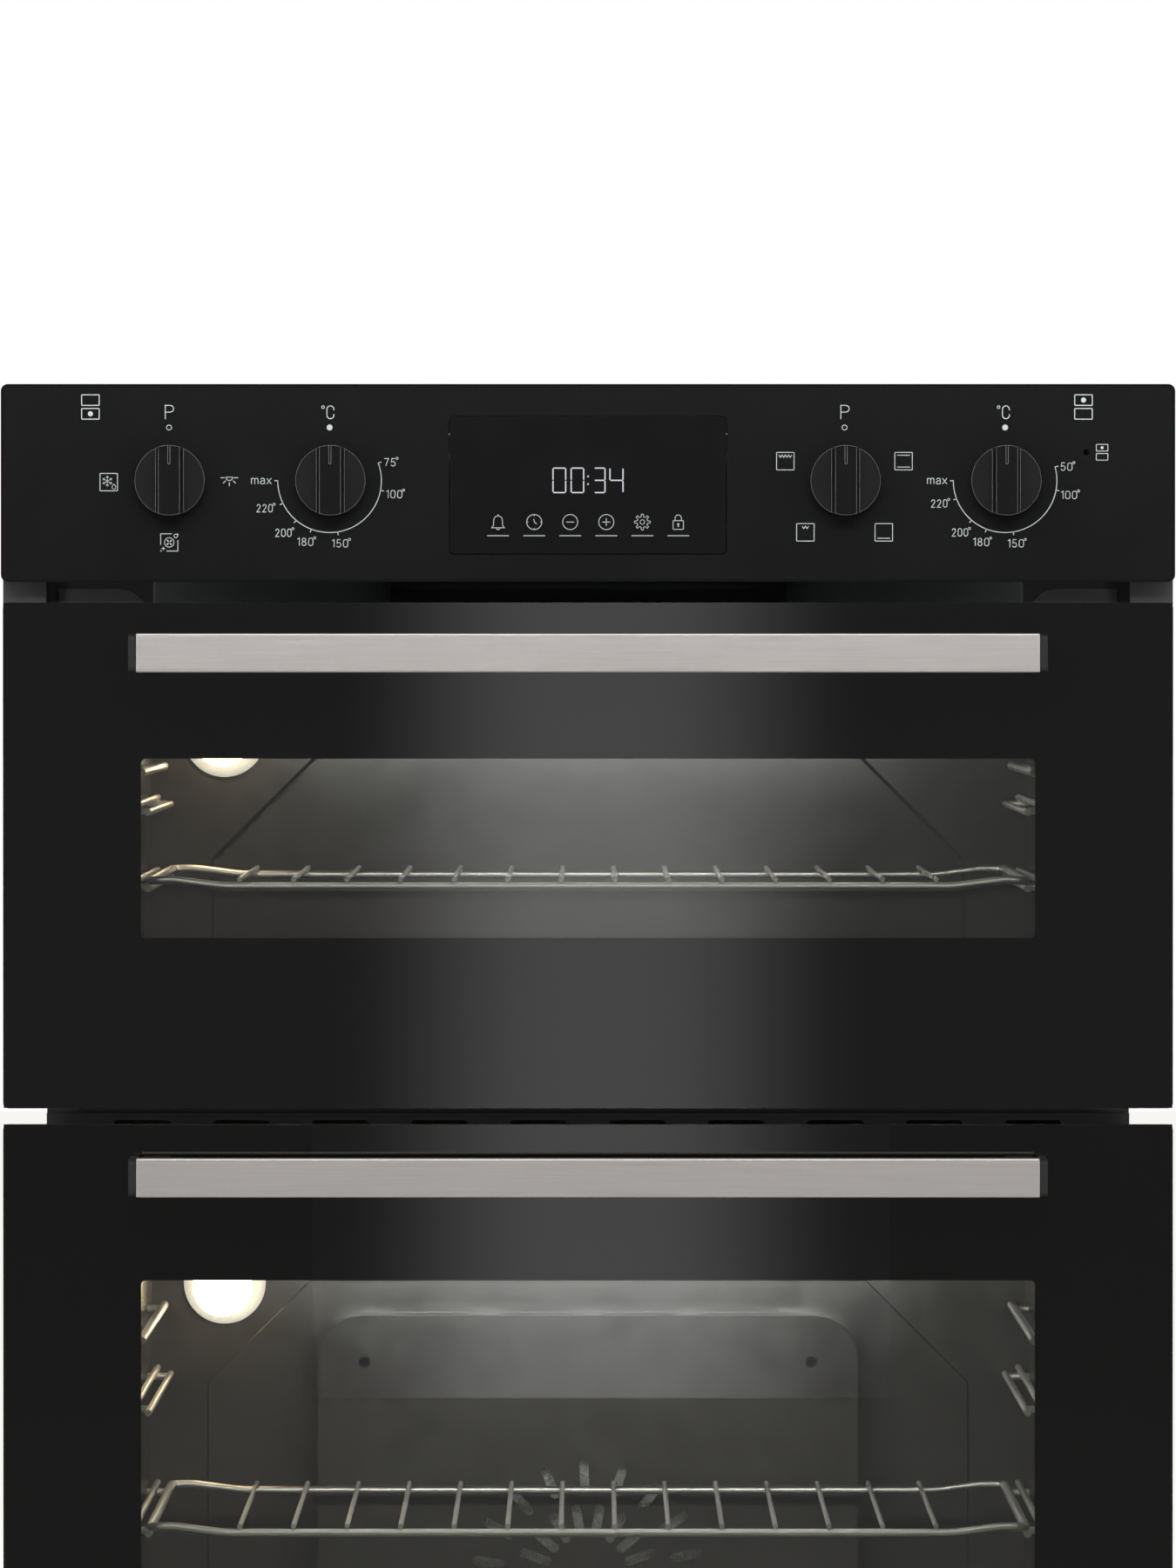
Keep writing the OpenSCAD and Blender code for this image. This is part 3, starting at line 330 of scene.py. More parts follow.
def pressedFramePaint():
    # painted sheet whose pressed-out pads get a paler colour: painted light that stands in for the light they lose in
    # the shaded slot between fascia and doors
    made, tree, place = startMaterial("black_paint_with_painted_light_on_raised_pads")
    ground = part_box("top_cavity")[0].y - frontSheet["step"] * mm
    depth = addNode(tree, "SeparateXYZ", {0: place}).outputs[1]
    raised = addNode(tree, "Math", {0: depth, 1: ground - 0.0015, 2: 0.0008}, operation="COMPARE").outputs[0]
    padMottle = addNode(tree, "TexNoise", {"Vector": place, "Scale": perMm(25), "Detail": 6.0}).outputs[0]
    # painted light: the pads' share of the paler colour, patchy with the noise
    padPaintedLight = addNode(tree, "Math", {0: raised, 1: addNode(tree, "MapRange", {"Value": padMottle, "To Min": 0.7,
                                                                            "To Max": 1.2}).outputs[0]},
                     operation="MULTIPLY", use_clamp=True).outputs[0]
    colour = addNode(tree, "Mix", {0: padPaintedLight, 6: hexLinear(frontSheet["low"]), 7: hexLinear(frontSheet["raised"])},
                     data_type="RGBA").outputs[2]
    bump = orangePeel(tree, place, 0.9)
    rough = addNode(tree, "MapRange", {"Value": padMottle, "To Min": 0.42, "To Max": 0.58}).outputs[0]
    finishMaterial(tree, {"Base Color": colour, "Roughness": rough, "Normal": bump, "Specular IOR Level": 0.3})
    return made


enamel = {
    "ground": "#2c2a28", "fleck": "#7d7972", "fleckSize": 1.5, "roughness": 0.2,
    # stepLine, stepWidth and the shade level place a painted shade band along the left pressed step
    "stepLine": 0.8415, "stepWidth": 0.0045, "paintedShadeLevel": 0.62,  # height minus x along the pressed step, m
    "stepFoot": 0.641,  # height at which the step turns down
}


def vitreousEnamel(name, ground, fleck, fleckShare):
    # fired glass enamel: glossy, with pale flecks and a gentle ripple, and a painted shade band along the pressed step
    # on the left of the back wall
    made, tree, place = startMaterial(name)
    dots = addNode(tree, "TexVoronoi", {"Vector": place, "Scale": perMm(enamel["fleckSize"]), "Randomness": 1.0})
    size = addNode(tree, "SeparateColor", {0: dots.outputs["Color"]}).outputs[1]
    reach = addNode(tree, "MapRange", {"Value": size, "From Min": 1 - fleckShare,
                                       "To Max": 0.34}).outputs[0]
    inside = addNode(tree, "Math", {0: dots.outputs["Distance"], 1: reach}, operation="LESS_THAN").outputs[0]
    ripple = addNode(tree, "TexNoise", {"Vector": place, "Scale": perMm(14), "Detail": 3.0}).outputs[0]
    body = wanderingTone(tree, ripple, hexLinear(ground), 0.86, 1.14)
    colour = addNode(tree, "Mix", {0: inside, 6: body, 7: hexLinear(fleck)}, data_type="RGBA").outputs[2]
    axes = addNode(tree, "SeparateXYZ", {0: place}).outputs
    # painted shade: a dark band along the 45-degree pressed step, on the left of the back wall only, above stepFoot
    along = addNode(tree, "Math", {0: axes[2], 1: axes[0]}, operation="SUBTRACT").outputs[0]
    along = addNode(tree, "Math", {0: along, 1: enamel["stepLine"]}, operation="SUBTRACT").outputs[0]
    along = addNode(tree, "Math", {0: along}, operation="ABSOLUTE").outputs[0]
    paintedStepShade = addNode(tree, "MapRange", {"Value": along, "From Min": 0.3 * enamel["stepWidth"],
                                        "From Max": enamel["stepWidth"], "To Min": enamel["paintedShadeLevel"]},
                     interpolation_type="SMOOTHSTEP").outputs[0]
    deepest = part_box("top_cavity")[1].y - 0.004
    atBack = addNode(tree, "Math", {0: axes[1], 1: deepest}, operation="GREATER_THAN").outputs[0]
    above = addNode(tree, "Math", {0: axes[2], 1: enamel["stepFoot"]}, operation="GREATER_THAN").outputs[0]
    atBack = addNode(tree, "Math", {0: atBack, 1: above}, operation="MULTIPLY").outputs[0]
    paintedStepShade = addNode(tree, "Mix", {0: atBack, 2: 1.0, 3: paintedStepShade}).outputs[0]
    colour = addNode(tree, "Mix", {0: 1.0, 6: colour, 7: paintedStepShade}, data_type="RGBA", blend_type="MULTIPLY").outputs[2]
    rough = addNode(tree, "MapRange", {"Value": ripple, "To Min": enamel["roughness"] - 0.05,
                                       "To Max": enamel["roughness"] + 0.08}).outputs[0]
    bump = addNode(tree, "Bump", {"Height": ripple, "Strength": 0.1, "Distance": 0.0006}).outputs[0]
    finishMaterial(tree, {"Base Color": colour, "Roughness": rough, "Normal": bump, "IOR": 1.52})
    return made


def polishedWire():
    # drawn steel wire, chromium plated: near mirror with faint draw lines
    made, tree, place = startMaterial("chromium_plated_wire")
    smear = addNode(tree, "TexNoise", {"Vector": place, "Scale": perMm(12), "Detail": 4.0}).outputs[0]
    rough = addNode(tree, "MapRange", {"Value": smear, "To Min": 0.26, "To Max": 0.4}).outputs[0]
    finishMaterial(tree, {"Base Color": hexLinear("#ebe9e3"), "Metallic": 1.0, "Roughness": rough})
    return made


def heatedTube():
    # stainless sheath browned and blued by heat in bands
    made, tree, place = startMaterial("heat_tinted_stainless_tube")
    band = addNode(tree, "TexNoise", {"Vector": place, "Scale": perMm(28), "Detail": 3.0}).outputs[0]
    colour = addNode(tree, "Mix", {0: band, 6: hexLinear("#5d5046"), 7: hexLinear("#565a63")},
                     data_type="RGBA").outputs[2]
    rough = addNode(tree, "MapRange", {"Value": band, "To Min": 0.35, "To Max": 0.55}).outputs[0]
    finishMaterial(tree, {"Base Color": colour, "Metallic": 1.0, "Roughness": rough})
    return made


def rolledSteel(name, colour, roughness, grain, run=(1, 1, 1), lines=0.15):
    # sheet or bar metal; run stretches the grain so that it lies along one axis
    made, tree, place = startMaterial(name)
    lay = addNode(tree, "VectorMath", {0: place, 1: run}, operation="MULTIPLY").outputs[0]
    grainLines = addNode(tree, "TexNoise", {"Vector": lay, "Scale": perMm(grain), "Detail": 4.0}).outputs[0]
    stain = addNode(tree, "TexNoise", {"Vector": place, "Scale": perMm(30), "Detail": 4.0}).outputs[0]
    shade = wanderingTone(tree, stain, hexLinear(colour), 0.88, 1.1)
    rough = addNode(tree, "MapRange", {"Value": grainLines, "To Min": roughness - 0.07,
                                       "To Max": roughness + 0.07}).outputs[0]
    bump = addNode(tree, "Bump", {"Height": grainLines, "Strength": lines, "Distance": 0.0001}).outputs[0]
    finishMaterial(tree, {"Base Color": shade, "Metallic": 1.0, "Roughness": rough, "Normal": bump})
    return made


handle = {"colour": "#a4a09e", "roughness": 0.34, "scratch": 0.35, "length": 60}


def brushedStainless():
    # belt-brushed along its length, so highlights spread up and down
    made, tree, place = startMaterial("brushed_stainless_steel")
    stretch = (handle["scratch"] / handle["length"], 1, 1)
    lay = addNode(tree, "VectorMath", {0: place, 1: stretch}, operation="MULTIPLY").outputs[0]
    fine = addNode(tree, "TexNoise", {"Vector": lay, "Scale": perMm(handle["scratch"]), "Detail": 5.0,
                                      "Roughness": 0.7}).outputs[0]
    tint = addNode(tree, "MapRange", {"Value": fine, "From Min": 0.3, "From Max": 0.7, "To Min": 0.9,
                                      "To Max": 1.06}).outputs[0]
    shade = addNode(tree, "Mix", {0: 1.0, 6: hexLinear(handle["colour"]), 7: tint}, data_type="RGBA",
                    blend_type="MULTIPLY").outputs[2]
    rough = addNode(tree, "MapRange", {"Value": fine, "To Min": handle["roughness"] - 0.08,
                                       "To Max": handle["roughness"] + 0.1}).outputs[0]
    bump = addNode(tree, "Bump", {"Height": fine, "Strength": 0.25, "Distance": 0.00008}).outputs[0]
    across = addNode(tree, "Tangent", direction_type="RADIAL", axis="X").outputs[0]
    finishMaterial(tree, {"Base Color": shade, "Metallic": 1.0, "Roughness": rough, "Normal": bump,
                          "Anisotropic": 0.6, "Tangent": across})
    return made


def mouldSkin(tree, place, roughness, sparks, smear):
    # spark-eroded mould texture: fine even grain that kills the gloss, unevenly wiped by handling
    grain = addNode(tree, "TexNoise", {"Vector": place, "Scale": perMm(sparks), "Detail": 2.0}).outputs[0]
    touch = addNode(tree, "TexNoise", {"Vector": place, "Scale": perMm(smear), "Detail": 4.0}).outputs[0]
    rough = addNode(tree, "MapRange", {"Value": touch, "To Min": roughness - 0.06,
                                       "To Max": roughness + 0.06}).outputs[0]
    bump = addNode(tree, "Bump", {"Height": grain, "Strength": 0.2, "Distance": 0.00005}).outputs[0]
    return touch, rough, bump


def mouldedPlastic(name, colour, roughness, sparks=0.25, gloss=0.5):
    # injection-moulded: dull and even, a little paler where it is touched
    made, tree, place = startMaterial(name)
    touch, rough, bump = mouldSkin(tree, place, roughness, sparks, 18)
    shade = wanderingTone(tree, touch, hexLinear(colour), 0.92, 1.08)
    finishMaterial(tree, {"Base Color": shade, "Roughness": rough, "Normal": bump, "Specular IOR Level": gloss})
    return made


# grip is a painted shade colour on the ridge, dial a paler painted light colour on the face
knobSkin = {"grip": "#060606", "dial": "#151515", "roughness": 0.4}


def knobPhenolic():
    # compression-moulded phenolic: the grip ridge is given painted shade, for the light it catches, and the dial face
    # painted light, for the ridge's shadow on it
    made, tree, place = startMaterial("satin_moulded_phenolic")
    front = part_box("top_function_knob")[0].y
    depth = addNode(tree, "SeparateXYZ", {0: place}).outputs[1]
    # painted shade on the grip ridge and painted light on the dial face, blended by depth
    towardDial = addNode(tree, "MapRange", {"Value": depth, "From Min": front + 0.002,
                                         "From Max": front + 0.007}).outputs[0]
    touch, rough, bump = mouldSkin(tree, place, knobSkin["roughness"], 0.25, 12)
    shade = addNode(tree, "Mix", {0: towardDial, 6: hexLinear(knobSkin["grip"]), 7: hexLinear(knobSkin["dial"])},
                    data_type="RGBA").outputs[2]
    shade = wanderingTone(tree, touch, shade, 0.92, 1.08)
    finishMaterial(tree, {"Base Color": shade, "Roughness": rough, "Normal": bump, "Specular IOR Level": 0.1})
    return made


def glassWool():
    # felted yellow fibres
    made, tree, place = startMaterial("glass_wool_blanket")
    tuft = addNode(tree, "TexNoise", {"Vector": place, "Scale": perMm(8), "Detail": 8.0, "Roughness": 0.7}).outputs[0]
    colour = addNode(tree, "Mix", {0: tuft, 6: hexLinear("#8f7f3c"), 7: hexLinear("#e5d993")},
                     data_type="RGBA").outputs[2]
    bump = addNode(tree, "Bump", {"Height": tuft, "Strength": 0.9, "Distance": 0.002}).outputs[0]
    finishMaterial(tree, {"Base Color": colour, "Roughness": 0.95, "Normal": bump, "Sheen Weight": 0.3})
    return made


def braidedSeal():
    # glass fibre braid over a wire core: a small diamond weave
    made, tree, place = startMaterial("braided_fibre_seal")
    waves = [addNode(tree, "TexWave", {"Vector": place, "Scale": perMm(1.4) / 20, "Distortion": 0.0},
                     bands_direction="DIAGONAL").outputs[1],
             addNode(tree, "TexWave", {"Vector": addNode(tree, "VectorMath", {0: place, 1: (1, 1, -1)},
                                                         operation="MULTIPLY").outputs[0],
                                       "Scale": perMm(1.4) / 20}, bands_direction="DIAGONAL").outputs[1]]
    weave = addNode(tree, "Math", {0: waves[0], 1: waves[1]}, operation="MULTIPLY").outputs[0]
    colour = addNode(tree, "Mix", {0: weave, 6: hexLinear("#3c3b38"), 7: hexLinear("#75726b")},
                     data_type="RGBA").outputs[2]
    bump = addNode(tree, "Bump", {"Height": weave, "Strength": 0.7, "Distance": 0.0004}).outputs[0]
    finishMaterial(tree, {"Base Color": colour, "Roughness": 0.85, "Normal": bump})
    return made


def clearGlass(name, tint, roughness=0.0, smudge=0.01):
    # float glass; rays from lamps pass it straight, so what is behind stays lit
    made, tree, place = startMaterial(name)
    film = addNode(tree, "TexNoise", {"Vector": place, "Scale": perMm(60), "Detail": 4.0}).outputs[0]
    rough = addNode(tree, "MapRange", {"Value": film, "From Min": 0.4, "From Max": 0.75, "To Min": roughness,
                                       "To Max": roughness + smudge}).outputs[0]
    pane = addNode(tree, "BsdfPrincipled", {"Base Color": hexLinear(tint), "Roughness": rough, "IOR": 1.52,
                                            "Transmission Weight": 1.0})
    once = tuple(part ** 0.5 for part in hexLinear(tint)[:3]) + (1,)  # a pane is crossed through two faces
    through = addNode(tree, "BsdfTransparent", {"Color": once})
    shadow = addNode(tree, "LightPath").outputs["Is Shadow Ray"]
    finishMaterial(tree, {0: shadow, 1: pane.outputs[0], 2: through.outputs[0]}, shader="MixShader")
    return made


def firedPrint(name, colour, roughness):
    # ceramic ink fused into the glass: dense, flat and even, with no shine of its own
    made, tree, place = startMaterial(name)
    screen = addNode(tree, "TexNoise", {"Vector": place, "Scale": perMm(3), "Detail": 3.0}).outputs[0]
    shade = wanderingTone(tree, screen, hexLinear(colour), 0.93, 1.07)
    finishMaterial(tree, {"Base Color": shade, "Roughness": roughness, "Specular IOR Level": 0.04})
    return made


def glossBlackFace():
    # the opaque border of a door pane seen from outside: black with the deep shine of flat glass
    made, tree, place = startMaterial("gloss_black_glass_face")
    film = addNode(tree, "TexNoise", {"Vector": place, "Scale": perMm(60), "Detail": 4.0}).outputs[0]
    rough = addNode(tree, "MapRange", {"Value": film, "From Min": 0.4, "From Max": 0.75,
                                       "To Max": 0.01}).outputs[0]
    shade = wanderingTone(tree, film, hexLinear("#040404"), 0.9, 1.1)
    finishMaterial(tree, {"Base Color": shade, "Roughness": rough, "IOR": 1.52})
    return made


def glowing(name, body, colour, strength, unevenness):
    # a lit surface with a small fall-off across it
    made, tree, place = startMaterial(name)
    cloud = addNode(tree, "TexNoise", {"Vector": place, "Scale": perMm(5), "Detail": 2.0}).outputs[0]
    level = addNode(tree, "MapRange", {"Value": cloud, "To Min": strength * (1 - unevenness),
                                       "To Max": strength * (1 + unevenness)}).outputs[0]
    finishMaterial(tree, {"Base Color": hexLinear(body), "Roughness": 0.3, "Emission Color": hexLinear(colour),
                          "Emission Strength": level})
    return made


def printedCircuit():
    # green solder mask over copper tracks
    made, tree, place = startMaterial("printed_circuit_board")
    tracks = addNode(tree, "TexBrick", {"Vector": place, "Scale": perMm(6), "Color1": hexLinear("#0d5a2b"),
                                        "Color2": hexLinear("#0a4722"), "Mortar": hexLinear("#1d7a41")}).outputs[0]
    finishMaterial(tree, {"Base Color": tracks, "Roughness": 0.35})
    return made


zinc = hotDipGalvanisedSteel()
blackPaint = paintedSteel("satin_black_powder_coat", "#202020", 0.45, 0.9, gloss=0.3)
greyPaint = paintedSteel("dark_grey_powder_coat", "#373737", 0.48, 0.9, gloss=0.3)
lacquer = panelLacquer()
framePaint = pressedFramePaint()
ductPaint = paintedSteel("grey_duct_primer", "#a0a6a4", 0.6, 1.2, gloss=0.2)
cavityEnamel = vitreousEnamel("speckled_vitreous_enamel", enamel["ground"], enamel["fleck"], 0.22)
trayEnamel = vitreousEnamel("black_vitreous_enamel", "#1c1c20", "#8f9099", 0.12)
chrome = polishedWire()
tube = heatedTube()
platedSteel = rolledSteel("bright_zinc_plated_steel", "#b9b6a8", 0.32, 1.2)
motorSteel = rolledSteel("plated_steel_can", "#a5a5a8", 0.38, 1.5)
stainless = rolledSteel("stainless_sheet", "#bfbfbd", 0.28, 0.8)
springSteel = rolledSteel("oiled_spring_wire", "#6a6a6c", 0.35, 0.8)
handleSteel = brushedStainless()
knobPlastic = knobPhenolic()
bracketPlastic = mouldedPlastic("dark_grey_moulded_nylon", "#1e1e1e", 0.55, gloss=0.15)
terminalPlastic = mouldedPlastic("black_moulded_polyamide", "#202020", 0.55)
switchPlastic = mouldedPlastic("cream_moulded_phenolic", "#d8d2c2", 0.5)
displayPlastic = mouldedPlastic("smoked_acrylic", "#080808", 0.3, sparks=2, gloss=0.1)
wool = glassWool()
seal = braidedSeal()
ceramic = paintedSteel("glazed_steatite", "#e4dfd2", 0.3, 3.0)
doorGlass = clearGlass("grey_tinted_float_glass", "#bababa")
innerGlass = clearGlass("heat_reflecting_float_glass", "#eef1ea")
bulbGlass = clearGlass("clear_bulb_glass", "#fff6e2")
blackPrint = firedPrint("black_ceramic_print", "#040404", 0.5)
glassFace = glossBlackFace()
palePrint = firedPrint("pale_screen_print", "#b0b5b4", 0.55)
lampGlow = glowing("lit_frosted_glass", "#d8d4c8", "#fff6e6", 1.5, 0.1)
digitGlow = glowing("lit_display_segment", "#202124", "#f6f7ff", 0.68, 0.05)
iconGlow = glowing("lit_touch_symbol", "#202124", "#f0f2f6", 0.56, 0.05)
markGlow = glowing("lit_underline", "#202124", "#f0f2f6", 0.34, 0.05)
# pale colour for the knobs' bevelled edges: a painted highlight in place of thin edge glints
paintedEdgeHighlight = mouldedPlastic("painted_highlight_moulded_edge", "#7c7c7c", 0.3, gloss=0.6)
circuit = printedCircuit()

# CAD nodes: finish and edge rounding in millimetres

nodeFinish = {
    "base_tray": (zinc, 0.3), "left_side_panel": (zinc, 0.3), "right_side_panel": (zinc, 0.3),
    "rear_panel": (zinc, 0.3), "top_cover": (zinc, 0.3), "front_frame": (framePaint, 0.3),
    "mounting_lugs": (greyPaint, 0.3), "bottom_strip": (blackPaint, 0.5), "top_cavity": (cavityEnamel, 0.4),
    "main_cavity": (cavityEnamel, 0.4), "insulation": (wool, 0), "door_seals": (seal, 0),
    "grill_element": (tube, 0), "base_element": (tube, 0), "ring_element": (tube, 0),
    "fan_baffle": (cavityEnamel, 0.4), "fan_motor": (motorSteel, 0.5), "convection_fan": (stainless, 0.2),
    "blower_housing": (ductPaint, 0.3), "air_duct": (ductPaint, 0.3), "blower_motor": (motorSteel, 0.5),
    "blower_impeller": (stainless, 0.2), "lamp_sockets": (ceramic, 0.5), "lamp_bulbs": (bulbGlass, 0),
    "lamp_lenses": (lampGlow, 0), "shelf_supports": (chrome, 0), "top_shelf": (chrome, 0),
    "main_shelf": (chrome, 0), "deep_tray": (trayEnamel, 0.5), "control_fascia": (lacquer, 0.7),
    "display_lens": (displayPlastic, 0.25), "display_module": (circuit, 0.2),
    "function_switches": (switchPlastic, 0.4), "thermostats": (motorSteel, 0.4),
    "terminal_box": (terminalPlastic, 0.8), "hinge_arms": (platedSteel, 0.4),
    "hinge_receivers": (platedSteel, 0.3), "body_screws": (platedSteel, 0.15),
}
for oven in ("main", "top"):
    for control in ("function", "temperature"):
        nodeFinish[f"{oven}_{control}_knob"] = (knobPlastic, 0.7)
        nodeFinish[f"{oven}_{control}_spindle"] = (platedSteel, 0.2)
    nodeFinish[f"{oven}_outer_glass"] = (doorGlass, 0.5)
    nodeFinish[f"{oven}_inner_glass"] = (innerGlass, 0.4)
    nodeFinish[f"{oven}_door_frame"] = (blackPaint, 0.3)
    nodeFinish[f"{oven}_handle_bar"] = (handleSteel, 0.6)
    nodeFinish[f"{oven}_handle_brackets"] = (bracketPlastic, 0.4)
    nodeFinish[f"{oven}_hinge_channels"] = (platedSteel, 0.3)
    nodeFinish[f"{oven}_hinge_springs"] = (springSteel, 0)


def finishNodes():
    for name, (material, edge) in nodeFinish.items():
        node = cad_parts[name]
        node.data.materials.clear()
        node.data.materials.append(material)
        for face in node.data.polygons:
            face.use_smooth = True
        weld = node.modifiers.new("weld", "WELD")
        weld.merge_threshold = 1e-6
        flat = node.modifiers.new("flats", "DECIMATE")
        flat.decimate_type = "DISSOLVE"
        flat.angle_limit = math.radians(0.4)
        if edge:
            rounding = node.modifiers.new("edge", "BEVEL")
            rounding.width = edge * mm
            rounding.segments = 2
            rounding.limit_method = "ANGLE"
            rounding.angle_limit = math.radians(38)
            # the knob's bevel faces take the pale material, a painted highlight along every edge
            if material is knobPlastic:
                node.data.materials.append(paintedEdgeHighlight)
                rounding.material = 1
            shade = node.modifiers.new("shade", "WEIGHTED_NORMAL")
            shade.keep_sharp = True
        else:
            split = node.modifiers.new("creases", "EDGE_SPLIT")
            split.split_angle = math.radians(50)


finishNodes()
print("CAD nodes finished")

# flat prints: everything is drawn in X and Z, in millimetres


def roundRect(x, z, width, height, radius, steps=6):
    corners = ((1, 1, 0), (-1, 1, 90), (-1, -1, 180), (1, -1, 270))
    points = []
    for sx, sz, start in corners:
        for i in range(steps + 1):
            turn = math.radians(start + 90 * i / steps)
            points.append((x + sx * (width / 2 - radius) + radius * math.cos(turn),
                           z + sz * (height / 2 - radius) + radius * math.sin(turn)))
    return points


def heading(angle):
    # across and up for an angle in degrees, clockwise from the top
    return math.sin(math.radians(angle)), math.cos(math.radians(angle))


def circle(x, z, radius, steps=28, start=0, turn=360):
    # a full turn leaves out the last point
    count = steps if turn == 360 else steps + 1
    ways = [heading(start + turn * i / steps) for i in range(count)]
    return [(x + radius * a, z + radius * c) for a, c in ways]


def line(points, width, closed=False):
    # a stroke of even width with mitred corners, as four-sided faces
    count = len(points)
    sides = []
    for i, (x, z) in enumerate(points):
        before = points[i - 1] if closed or i else points[i]
        after = points[(i + 1) % count] if closed or i < count - 1 else points[i]
        a = Vector((x - before[0], z - before[1]))
        b = Vector((after[0] - x, after[1] - z))
        a = a.normalized() if a.length else b.normalized()
        b = b.normalized() if b.length else a
        normal = Vector((-(a + b).y, (a + b).x)).normalized()
        reach = width / 2 / max(normal.dot(Vector((-a.y, a.x))), 0.35)
        sides.append(((x + normal.x * reach, z + normal.y * reach), (x - normal.x * reach, z - normal.y * reach)))
    pairs = [(i, (i + 1) % count) for i in range(count if closed else count - 1)]
    return [[sides[i][0], sides[i][1], sides[j][1], sides[j][0]] for i, j in pairs]


# outlines of the dial figures in a cell one unit high; a list of strokes each
glyphs = {
    "0": [[(0.27 + 0.27 * a, (0.73 if c > 0 else 0.27) + 0.27 * c) for a, c in map(heading, (
        0, 30, 60, 90, 91, 120, 150, 180, 210, 240, 269, 270, 300, 330, 360))]],
    "1": [[(0.02, 0.84), (0.26, 1.0), (0.26, 0.0)]],
    "2": [[(0.03, 0.74), (0.08, 0.89), (0.26, 1.0), (0.44, 0.91), (0.5, 0.74), (0.42, 0.54), (0.02, 0.0), (0.54, 0.0)]],
    "5": [[(0.48, 1.0), (0.1, 1.0), (0.05, 0.52), (0.26, 0.62), (0.44, 0.54), (0.52, 0.32), (0.44, 0.09), (0.25, 0.0),
           (0.08, 0.06), (0.01, 0.2)]],
    "7": [[(0.0, 1.0), (0.54, 1.0), (0.18, 0.0)]],
    "8": [[(0.27, 0.54), (0.1, 0.63), (0.05, 0.78), (0.12, 0.93), (0.27, 1.0), (0.42, 0.93), (0.49, 0.78),
           (0.44, 0.63), (0.27, 0.54), (0.08, 0.44), (0.01, 0.26), (0.09, 0.07), (0.27, 0.0), (0.45, 0.07),
           (0.53, 0.26), (0.46, 0.44), (0.27, 0.54)]],
    "m": [[(0.0, 0.0), (0.0, 1.0)], [(0.0, 0.75), (0.12, 0.95), (0.28, 1.0), (0.42, 0.9), (0.45, 0.7), (0.45, 0.0)],
          [(0.45, 0.75), (0.57, 0.95), (0.73, 1.0), (0.87, 0.9), (0.9, 0.7), (0.9, 0.0)]],
    "a": [[(0.05, 0.78), (0.16, 0.96), (0.34, 1.0), (0.52, 0.92), (0.58, 0.7), (0.58, 0.0)],
          [(0.58, 0.58), (0.24, 0.56), (0.04, 0.42), (0.02, 0.2), (0.14, 0.03), (0.34, 0.0), (0.58, 0.22)]],
    "x": [[(0.0, 0.0), (0.62, 1.0)], [(0.62, 0.0), (0.0, 1.0)]],
}


def letters(text, x, z, width, height, stroke=0.35):
    # strokes fitted to a box centred on x, z
    advance, placed = 0, []
    for sign in text:
        strokes = glyphs[sign]
        wide = max(point[0] for part in strokes for point in part)
        placed.append((advance, strokes))
        advance += wide + 0.3
    scale = (width - stroke) / (advance - 0.3)
    faces = []
    for start, strokes in placed:
        for points in strokes:
            faces += line([(x - width / 2 + stroke / 2 + (start + a) * scale,
                            z - height / 2 + stroke / 2 + b * (height - stroke)) for a, b in points], stroke)
    return faces


def addPrint(name, faces, y, thickness, material, body):
    # faces lie at y and grow away from the viewer by their thickness
    shape = bmesh.new()
    for face in faces:
        shape.faces.new([shape.verts.new((x * mm, y, z * mm)) for x, z in face])
    bmesh.ops.remove_doubles(shape, verts=shape.verts[:], dist=2e-6)
    made = addObject(name, shape, material)
    toFront = sum(face.normal.y * face.area for face in made.data.polygons) < 0
    solid = made.modifiers.new("thickness", "SOLIDIFY")
    solid.thickness = thickness * mm
    solid.offset = -1 if toFront else 1
    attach(made, body)
    return made


symbols = {
    "line": 0.46, "iconLine": 0.36, "arcLine": 0.42, "box": 9.2, "arc": 26.2, "tick": 1.7, "digitHeight": 4.2,
    "shift": {"main": -0.6, "top": -0.35},  # how far the screen print sits beside the spindles
}
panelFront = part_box("control_fascia")[0].y
knobs = {name: tuple(sum(c) / 2 / mm for c in zip(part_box(name)[0].xz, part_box(name)[1].xz)) for name in
         ("main_function_knob", "main_temperature_knob", "top_function_knob", "top_temperature_knob")}
dials = {name: (x + symbols["shift"][name.split("_")[0]], z) for name, (x, z) in knobs.items()}


def frameIcon(x, z, width, height, stroke):
    return line(roundRect(x, z, width - stroke, height - stroke, 0.3, 2), stroke, closed=True)


def ovenIcon(x, z, width, height, gap, stroke, lit, dot):
    step = height / 2 + gap / 2
    faces = frameIcon(x, z + step, width, height, stroke) + frameIcon(x, z - step, width, height, stroke)
    faces.append(circle(x, z + lit * step, dot, 20))
    return faces


def temperatureArc(knob, first, ticks):
    x, z = dials[knob]
    r = symbols["arc"]
    faces = line(circle(x, z, r, 90, first, 270 - first), symbols["arcLine"])
    for angle in ticks:
        s, c = heading(angle)
        faces += line([(x + (r - 0.2) * s, z + (r - 0.2) * c),
                       (x + (r + symbols["tick"]) * s, z + (r + symbols["tick"]) * c)], symbols["arcLine"])
    return faces


def degrees(text, x, z):
    width = {2: 6.0, 3: 8.3}[len(text)]
    height = symbols["digitHeight"]
    ring = line(circle(x + width / 2 + 0.7, z + height / 2 - 0.1, 0.55, 14), 0.28, closed=True)
    return letters(text, x, z, width, height) + ring


def snowflake(x, z, r, stroke):
    faces = []
    for arm in range(6):
        s, c = heading(60 * arm)
        faces += line([(x, z), (x + r * s, z + r * c)], stroke)
        for side in (-1, 1):
            a, b = heading(60 * arm + side * 40)
            root = (x + 0.55 * r * s, z + 0.55 * r * c)
            faces += line([root, (root[0] + 0.36 * r * a, root[1] + 0.36 * r * b)], stroke)
    return faces


